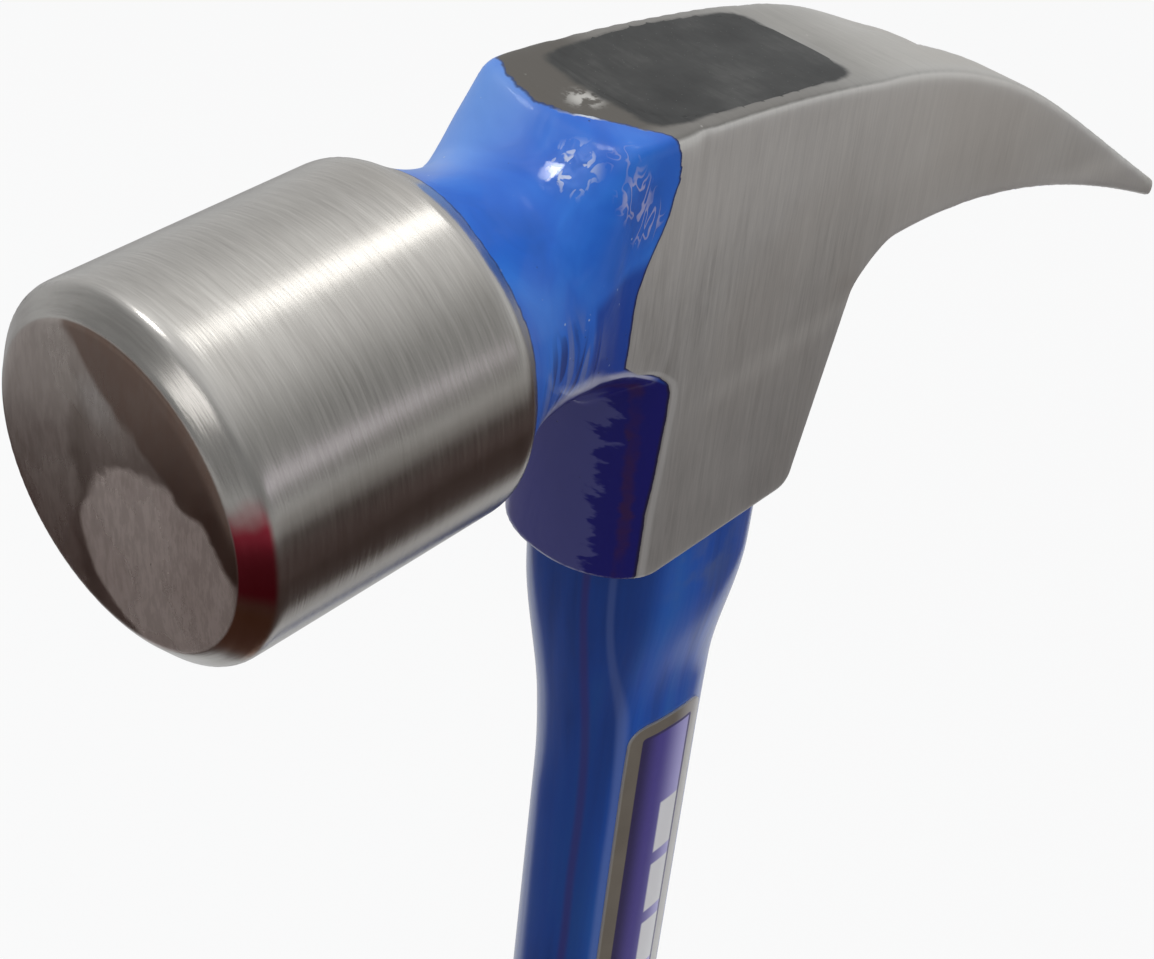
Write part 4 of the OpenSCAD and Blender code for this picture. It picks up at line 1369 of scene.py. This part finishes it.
def jacket_finish(colours):
    """Deep blue moulding with flow lines along the shaft and a glossy skin; its front painted in shade, with
    a painted reddish reflection, a painted pale highlight and a painted haze of reflected light
    """
    m = Shader("moulded blue jacket", tuple(colours.jacket))
    flow = m.noise((260, 260, 14), 3.0, 0.55)
    broad = m.noise((75, 75, 20), 2.0, 0.5)
    base = m.ramp(flow * 0.45 + broad * 0.55, (0.36, toned(colours.jacket, 0.5)),
                  (0.5, tuple(colours.jacket)), (0.66, JACKET_PALE))
    x, y, _ = m.axes()
    wander = (m.noise((30, 30, 22), 2.0, 0.5) - 0.5) * 0.0016
    # a painted reddish reflection runs down the front, and a painted pale highlight down its near corner
    red_reflection = m.step(abs(y + 0.0036 + wander), 0.0007, 0.0001) * m.step(x, -0.007, -0.009)
    base = m.mix(red_reflection * 0.5, base, RED_REFLECTION_LINE)
    pale = m.step(abs(y + 0.0061 + wander * 0.3), 0.00045, 0.0001) * m.step(x, -0.004, -0.006)
    base = m.mix(pale * 0.45, base, PALE_HIGHLIGHT_LINE)
    # the front painted darker as shade
    base = m.mix(m.step(x, -0.0055, -0.0095) * 0.62, base, JACKET_FRONT_SHADE)
    # a haze of reflected light painted near the top
    haze_reflection = m.near(HAZE_REFLECTION_AT, 0.001, 0.0085) * m.step(m.noise(160.0, 3.0, 0.6), 0.38, 0.62)
    base = m.mix(haze_reflection * 0.45, base, JACKET_HAZE_REFLECTION)
    normal = m.bump(flow * 0.8 + broad * 0.6, 0.0004, 0.35)
    return m.finish(m.surface(base=base, rough=0.24 + broad * 0.12, coat=0.6, coat_rough=0.07, normal=normal,
                              ior=1.5, specular=0.35))


def label_field(m, across, along_label, colours):
    """Violet-blue field, paler towards the rear, with a row of plain pale bars down its middle"""
    field = m.mix(m.step(across, -4.3, -1.0), toned(colours.label_field, 0.3), tuple(colours.label_field))
    field = m.mix(m.step(across, -1.0, 4.4), field, FIELD_PALE)
    bar = m.step(across, 0.4, 0.8) * m.step(across, 4.3, 3.9)
    row = m.add("ShaderNodeMath", {"operation": "PINGPONG"}, [along_label - BARS_FROM, BAR_PITCH])
    ends = m.step(along_label, BARS_FROM + 0.5, BARS_FROM + 0.9) * m.step(along_label, BARS_TO, BARS_TO - 0.4)
    return m.mix(bar * m.step(row, 0.9, 1.3) * ends, field, PANEL)


def label_finish(colours):
    """Printed film: a tan metallic border round a violet-blue field; the border is painted paler towards the
    rear as a reflection
    """
    m = Shader("printed label film", tuple(colours.label_field))
    across, edge = m.attribute("across"), m.attribute("edge")
    grain = m.noise(1300.0, 3.0, 0.6)
    border = m.step(edge, 2.1, 1.9)
    tan = m.mix(m.noise(120.0, 2.0, 0.5), toned(colours.label_border, 0.7), toned(colours.label_border, 1.35))
    # the border painted paler towards the rear as a reflection
    tan = m.mix(m.step(across, 0.5, 4.0) * 0.75, tan, BORDER_REFLECTION)
    base = m.mix(border, label_field(m, across, m.attribute("along"), colours), tan)
    base = m.mix(m.step(edge, 2.5, 2.35) * (1 - border) * 0.85, base, FIELD_LINE)
    base = m.mix(m.step(edge, 0.3, 0.1) * 0.6, base, FILM_RIM)
    rough = 0.34 + grain * 0.1 - border * 0.06
    normal = m.bump(grain * 0.3 + border * 0.5, 0.00005, 0.5)
    return m.finish(m.surface(base=base, rough=rough, metal=border * 0.45, coat=0.6, coat_rough=0.08,
                              normal=normal))


def rubber_finish(colours):
    """Soft moulded grip: a fine pebbled texture, a little dust on it, and painted shade in the grooves"""
    m = Shader("moulded rubber", tuple(colours.rubber))
    pebble = m.cells(1500.0)
    dust = m.noise(420.0, 4.0, 0.65)
    base = m.ramp(m.noise(70.0, 3.0, 0.6) * 0.5 + dust * 0.5, (0.35, toned(colours.rubber, 0.7)),
                  (0.55, toned(colours.rubber, 1.5)), (0.75, RUBBER_DUST))
    # painted shade, darker in the grooves
    base = m.mix(m.attribute("rib") * 0.8, base, GROOVE_SHADE)
    normal = m.bump(pebble * 0.7 + dust * 0.3, 0.00012, 0.6)
    return m.finish(m.surface(base=base, rough=0.52 + dust * 0.22, normal=normal, specular=0.4))


# Studio: the floor, the room, the lamps and the camera. Places are in metres

FLOOR_STOPS = ((0.3, (0.86, 0.86, 0.86)), (0.7, (0.9, 0.9, 0.9)))
FLOOR_HALF = 6
REFLECTED_DARK = (0.1, 0.066, 0.06, 1.0)
REFLECTED_DARK_AT, REFLECTED_GAP_AT = (0.06, -0.345, 0.0), (0.17, 0.17, 0.0)
WHITE = (1, 1, 1, 1)
ROOM_WHITE = (0.97, 0.985, 1, 1)
BRIGHT_SIDE = (0.8, 0.6, 0.0)  # the room is brighter behind the hammer
AIM = Vector((0, 0, 0.39))
LAMPS = (  # name, azimuth and elevation from the head in degrees, distance, size, power, colour
    ("key lamp", 103, 56, 1.0, (0.2, 0.22), 0.34, (1, 1, 1)),
    ("upper lamp", -150, 62, 1.0, (0.16, 0.16), 1.3, (1, 1, 1)),
    ("left lamp", -86, 27, 1.1, (0.4, 0.3), 0.7, (1, 1, 1)),
    ("low lamp", 24, 10, 1.2, (0.5, 0.16), 0.2, (0.93, 0.87, 1)),
)
CAMERA_AT = (-0.1546, -0.1147, 0.5090)
CAMERA_TURN = Vector((2.1379, -0.8810, 0.5257))  # the turn from the world to the camera, as axis times angle
SENSOR_W = 36.0
CLIP_NEAR = 0.01


def floor_finish():
    """Pale floor; a dark patch on it, on the camera's side of the handle, is seen only in reflections, a
    painted dark reflection in the steel and enamel
    """
    m = Shader("pale floor", (0.9, 0.9, 0.9))
    pale = m.surface(base=m.ramp(m.noise(2.0, 2.0, 0.5), *FLOOR_STOPS), rough=0.8, specular=0.2)
    reflected_dark = m.surface(base=REFLECTED_DARK, rough=0.9, specular=0.1)
    white = m.add("ShaderNodeEmission", {}, {"Color": WHITE, "Strength": 1.0})
    seen = m.add("ShaderNodeLightPath", {}, (), "Is Camera Ray")
    # where the dark reflection is painted, seen only by glossy rays
    shaded = m.near(REFLECTED_DARK_AT, 0.88, 0.92).high(m.near(REFLECTED_DARK_AT, 1.3, 2.2) * 0.4)
    covered = shaded * (1 - m.near(REFLECTED_GAP_AT, 0.24, 0.31))
    lit = m.add("ShaderNodeMixShader", {}, {0: covered * seen.beside("Is Glossy Ray"), 1: pale, 2: reflected_dark})
    return m.finish(m.add("ShaderNodeMixShader", {}, {0: seen * 0.84, 1: lit, 2: white}))


def pale_floor():
    """A wide floor under the butt, declared as stage"""
    corners = [(x * FLOOR_HALF, y * FLOOR_HALF, 0) for x, y in ((-1, -1), (1, -1), (1, 1), (-1, 1))]
    mesh = bpy.data.meshes.new("floor")
    mesh.from_pydata(corners, [], [(0, 1, 2, 3)])
    mesh.materials.append(floor_finish())
    floor = bpy.data.objects.new("floor", mesh)
    bpy.context.scene.collection.objects.link(floor)
    floor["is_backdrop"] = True


def white_room(level):
    """White to the camera; otherwise a room that is brightest above and behind the hammer"""
    world = bpy.data.worlds.new("white room")
    world.use_nodes = True
    nodes = Nodes(world.node_tree)
    way = nodes.add("ShaderNodeTexCoord", {}, (), "Generated")
    behind = nodes.vector_math("DOT_PRODUCT", way, BRIGHT_SIDE, output="Value")
    above = nodes.add("ShaderNodeSeparateXYZ", {}, [way], "Z")
    sweep = nodes.step(behind, -0.2, 0.75, 0.32, 0.7)
    sky = nodes.step(above, 0.45, 0.95, 0.0, 0.55)
    room = nodes.add("ShaderNodeBackground", {}, {"Color": ROOM_WHITE, "Strength": (sweep + sky) * level})
    back = nodes.add("ShaderNodeBackground", {}, {"Color": WHITE, "Strength": 1.0})
    seen = nodes.add("ShaderNodeLightPath", {}, (), "Is Camera Ray")
    shown = nodes.add("ShaderNodeMixShader", {}, [seen, room, back])
    nodes.add("ShaderNodeOutputWorld", {}, {"Surface": shown})
    return world


def soft_lamp(name, azimuth, elevation, away, size, power, colour):
    """An area lamp that looks at the head from an azimuth and an elevation"""
    a, e = math.radians(azimuth), math.radians(elevation)
    back = Vector((math.sin(a) * math.cos(e), -math.cos(a) * math.cos(e), math.sin(e)))
    data = bpy.data.lights.new(name, "AREA")
    data.shape = "RECTANGLE"
    data.size, data.size_y = size
    data.energy = power
    data.color = colour
    lamp = bpy.data.objects.new(name, data)
    bpy.context.scene.collection.objects.link(lamp)
    lamp.location = AIM + back * away
    lamp.rotation_euler = (AIM - lamp.location).to_track_quat("-Z", "Y").to_euler()


def photo_camera(focal):
    """The camera at the photograph's place and angle"""
    data = bpy.data.cameras.new("camera")
    data.lens, data.sensor_width, data.clip_start = focal, SENSOR_W, CLIP_NEAR
    camera = bpy.data.objects.new("camera", data)
    bpy.context.scene.collection.objects.link(camera)
    right, down, ahead = Matrix.Rotation(CAMERA_TURN.length, 3, CAMERA_TURN.normalized())
    facing = Matrix((right, -down, -ahead)).transposed()
    camera.matrix_world = Matrix.Translation(CAMERA_AT) @ facing.to_4x4()
    bpy.context.scene.camera = camera


# Operators, one for each piece or group of like pieces and one for the stage


class HammerOperator:
    """What the hammer's operators share"""

    bl_options = {"REGISTER", "UNDO"}


class HAMMER_OT_head(HammerOperator, bpy.types.Operator):
    """Skin the forged head over its frame solid and give it ground steel and enamel"""

    bl_idname = "hammer.head"
    bl_label = "Forged Head"

    def execute(self, context):
        sizes, colours = context.scene.hammer_head, context.scene.hammer_colours
        step = sizes.grid_step / MM * 1.0
        xs = np.arange(-FACE_REACH - 3 * step, CLAW_REACH + 4 * step, step)
        ys = np.arange(-BELL_R - 4 * step, BELL_R + 4 * step, step)
        zs = np.arange(-SKIRT_DROP - 3 * step, BELL_R + 4 * step, step)
        field, bond, whole = head_fields(xs, ys, zs, sizes)
        low = np.array([xs[0], ys[0], zs[0]])
        up = np.array((0, 0, AXIS_Z))
        outside = whole / step
        slope = slopes(outside)
        points, normals, faces = ground_skin(bond, step, low, outside, slope)
        placed(mesh_object("epoxy_fill", points + up, faces, epoxy_finish(), normals), "eye_epoxy")
        points, normals, faces = ground_skin(field, step, low, outside, slope)
        box = np.array(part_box("head")) / MM - up
        points = np.clip(points, box[LOW], box[HIGH])
        attributes = {"paint_edge": paint_distance(points, normals), "eye_edge": mouth_distance(points),
                      "under": under_share(points, normals), "up": normals[:, 2],
                      "ridge": worn_ridges(field, (points - low) / step)}
        piece = mesh_object("forged_head", points + up, faces, head_finish(colours), normals, attributes)
        placed(piece, "head")
        return {"FINISHED"}


class HAMMER_OT_eye(HammerOperator, bpy.types.Operator):
    """Finish what else is bonded inside the eye: seal and glass-fibre rod"""

    bl_idname = "hammer.eye"
    bl_label = "Eye Bond"

    def execute(self, context):
        for name, finish in (("eye_seal", seal_finish()), ("core_rod", core_finish())):
            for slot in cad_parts[name].material_slots:
                slot.material = finish
        return {"FINISHED"}


class HAMMER_OT_jacket(HammerOperator, bpy.types.Operator):
    """Mould the jacket as one smooth skin with its shoulder under the head"""

    bl_idname = "hammer.jacket"
    bl_label = "Jacket"

    def execute(self, context):
        points, faces = jacket_mesh()
        piece = mesh_object("blue_jacket", points, faces, jacket_finish(context.scene.hammer_colours))
        piece.data.set_sharp_from_angle(angle=math.radians(40))
        placed(piece, "jacket")
        return {"FINISHED"}


class HAMMER_OT_labels(HammerOperator, bpy.types.Operator):
    """Wrap a printed film on each broad side of the jacket"""

    bl_idname = "hammer.labels"
    bl_label = "Labels"

    def execute(self, context):
        finish = label_finish(context.scene.hammer_colours)
        for side in ("left", "right"):
            node = "label_" + side
            points, faces, attributes = film_mesh(1 if box_side(node, LOW, Y) > 0 else -1)
            piece = mesh_object("film_" + side, points, faces, finish, None, attributes)
            piece.data.set_sharp_from_angle(angle=math.radians(40))
            placed(piece, node)
        return {"FINISHED"}


class HAMMER_OT_grip(HammerOperator, bpy.types.Operator):
    """Mould the rubber grip over the jacket's foot, with pressed finger grooves"""

    bl_idname = "hammer.grip"
    bl_label = "Grip"

    def execute(self, context):
        finish = rubber_finish(context.scene.hammer_colours)
        blank = mesh_object("sleeve_blank", *grip_mesh(), finish)
        mesh = grooved(blank, context.scene.hammer_grip, finish)
        mesh.name = "rubber_grip"
        mesh.polygons.foreach_set("use_smooth", [True] * len(mesh.polygons))
        mesh.set_sharp_from_angle(angle=math.radians(50))
        piece = bpy.data.objects.new("rubber_grip", mesh)
        context.scene.collection.objects.link(piece)
        placed(piece, "grip")
        return {"FINISHED"}


class HAMMER_OT_stage(HammerOperator, bpy.types.Operator):
    """Set a pale floor, soft lamps and the camera"""

    bl_idname = "hammer.stage"
    bl_label = "Studio"

    def execute(self, context):
        studio = context.scene.hammer_studio
        context.scene.view_settings.view_transform = "Standard"
        pale_floor()
        context.scene.world = white_room(studio.room_light)
        for name, azimuth, elevation, away, size, power, colour in LAMPS:
            soft_lamp(name, azimuth, elevation, away, size, power * studio.lamp_power, colour)
        photo_camera(studio.focal)
        return {"FINISHED"}


class HAMMER_PT_panel(bpy.types.Panel):
    """The hammer's pieces and sizes"""

    bl_label = "Framing Hammer"
    bl_idname = "HAMMER_PT_panel"
    bl_space_type = "VIEW_3D"
    bl_region_type = "UI"
    bl_category = "Hammer"

    def draw(self, context):
        for step in STEPS:
            self.layout.operator(step.bl_idname)
        for key, group in GROUPS.items():
            box = self.layout.box()
            for name in group.__annotations__:
                box.prop(getattr(context.scene, key), name)


STEPS = (HAMMER_OT_head, HAMMER_OT_eye, HAMMER_OT_jacket, HAMMER_OT_labels, HAMMER_OT_grip, HAMMER_OT_stage)


def register():
    for kind in (*GROUPS.values(), *STEPS, HAMMER_PT_panel):
        bpy.utils.register_class(kind)
    for key, group in GROUPS.items():
        setattr(bpy.types.Scene, key, PointerProperty(type=group))


def unregister():
    for key in GROUPS:
        delattr(bpy.types.Scene, key)
    for kind in reversed((*GROUPS.values(), *STEPS, HAMMER_PT_panel)):
        bpy.utils.unregister_class(kind)


def main():
    register()
    for step in STEPS:
        group, name = step.bl_idname.split(".")
        getattr(getattr(bpy.ops, group), name)()
    {"cad": [list(c) for c in CAD_BOX], "visual": [list(c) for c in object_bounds()]}


if __name__ == "__main__":
    main()
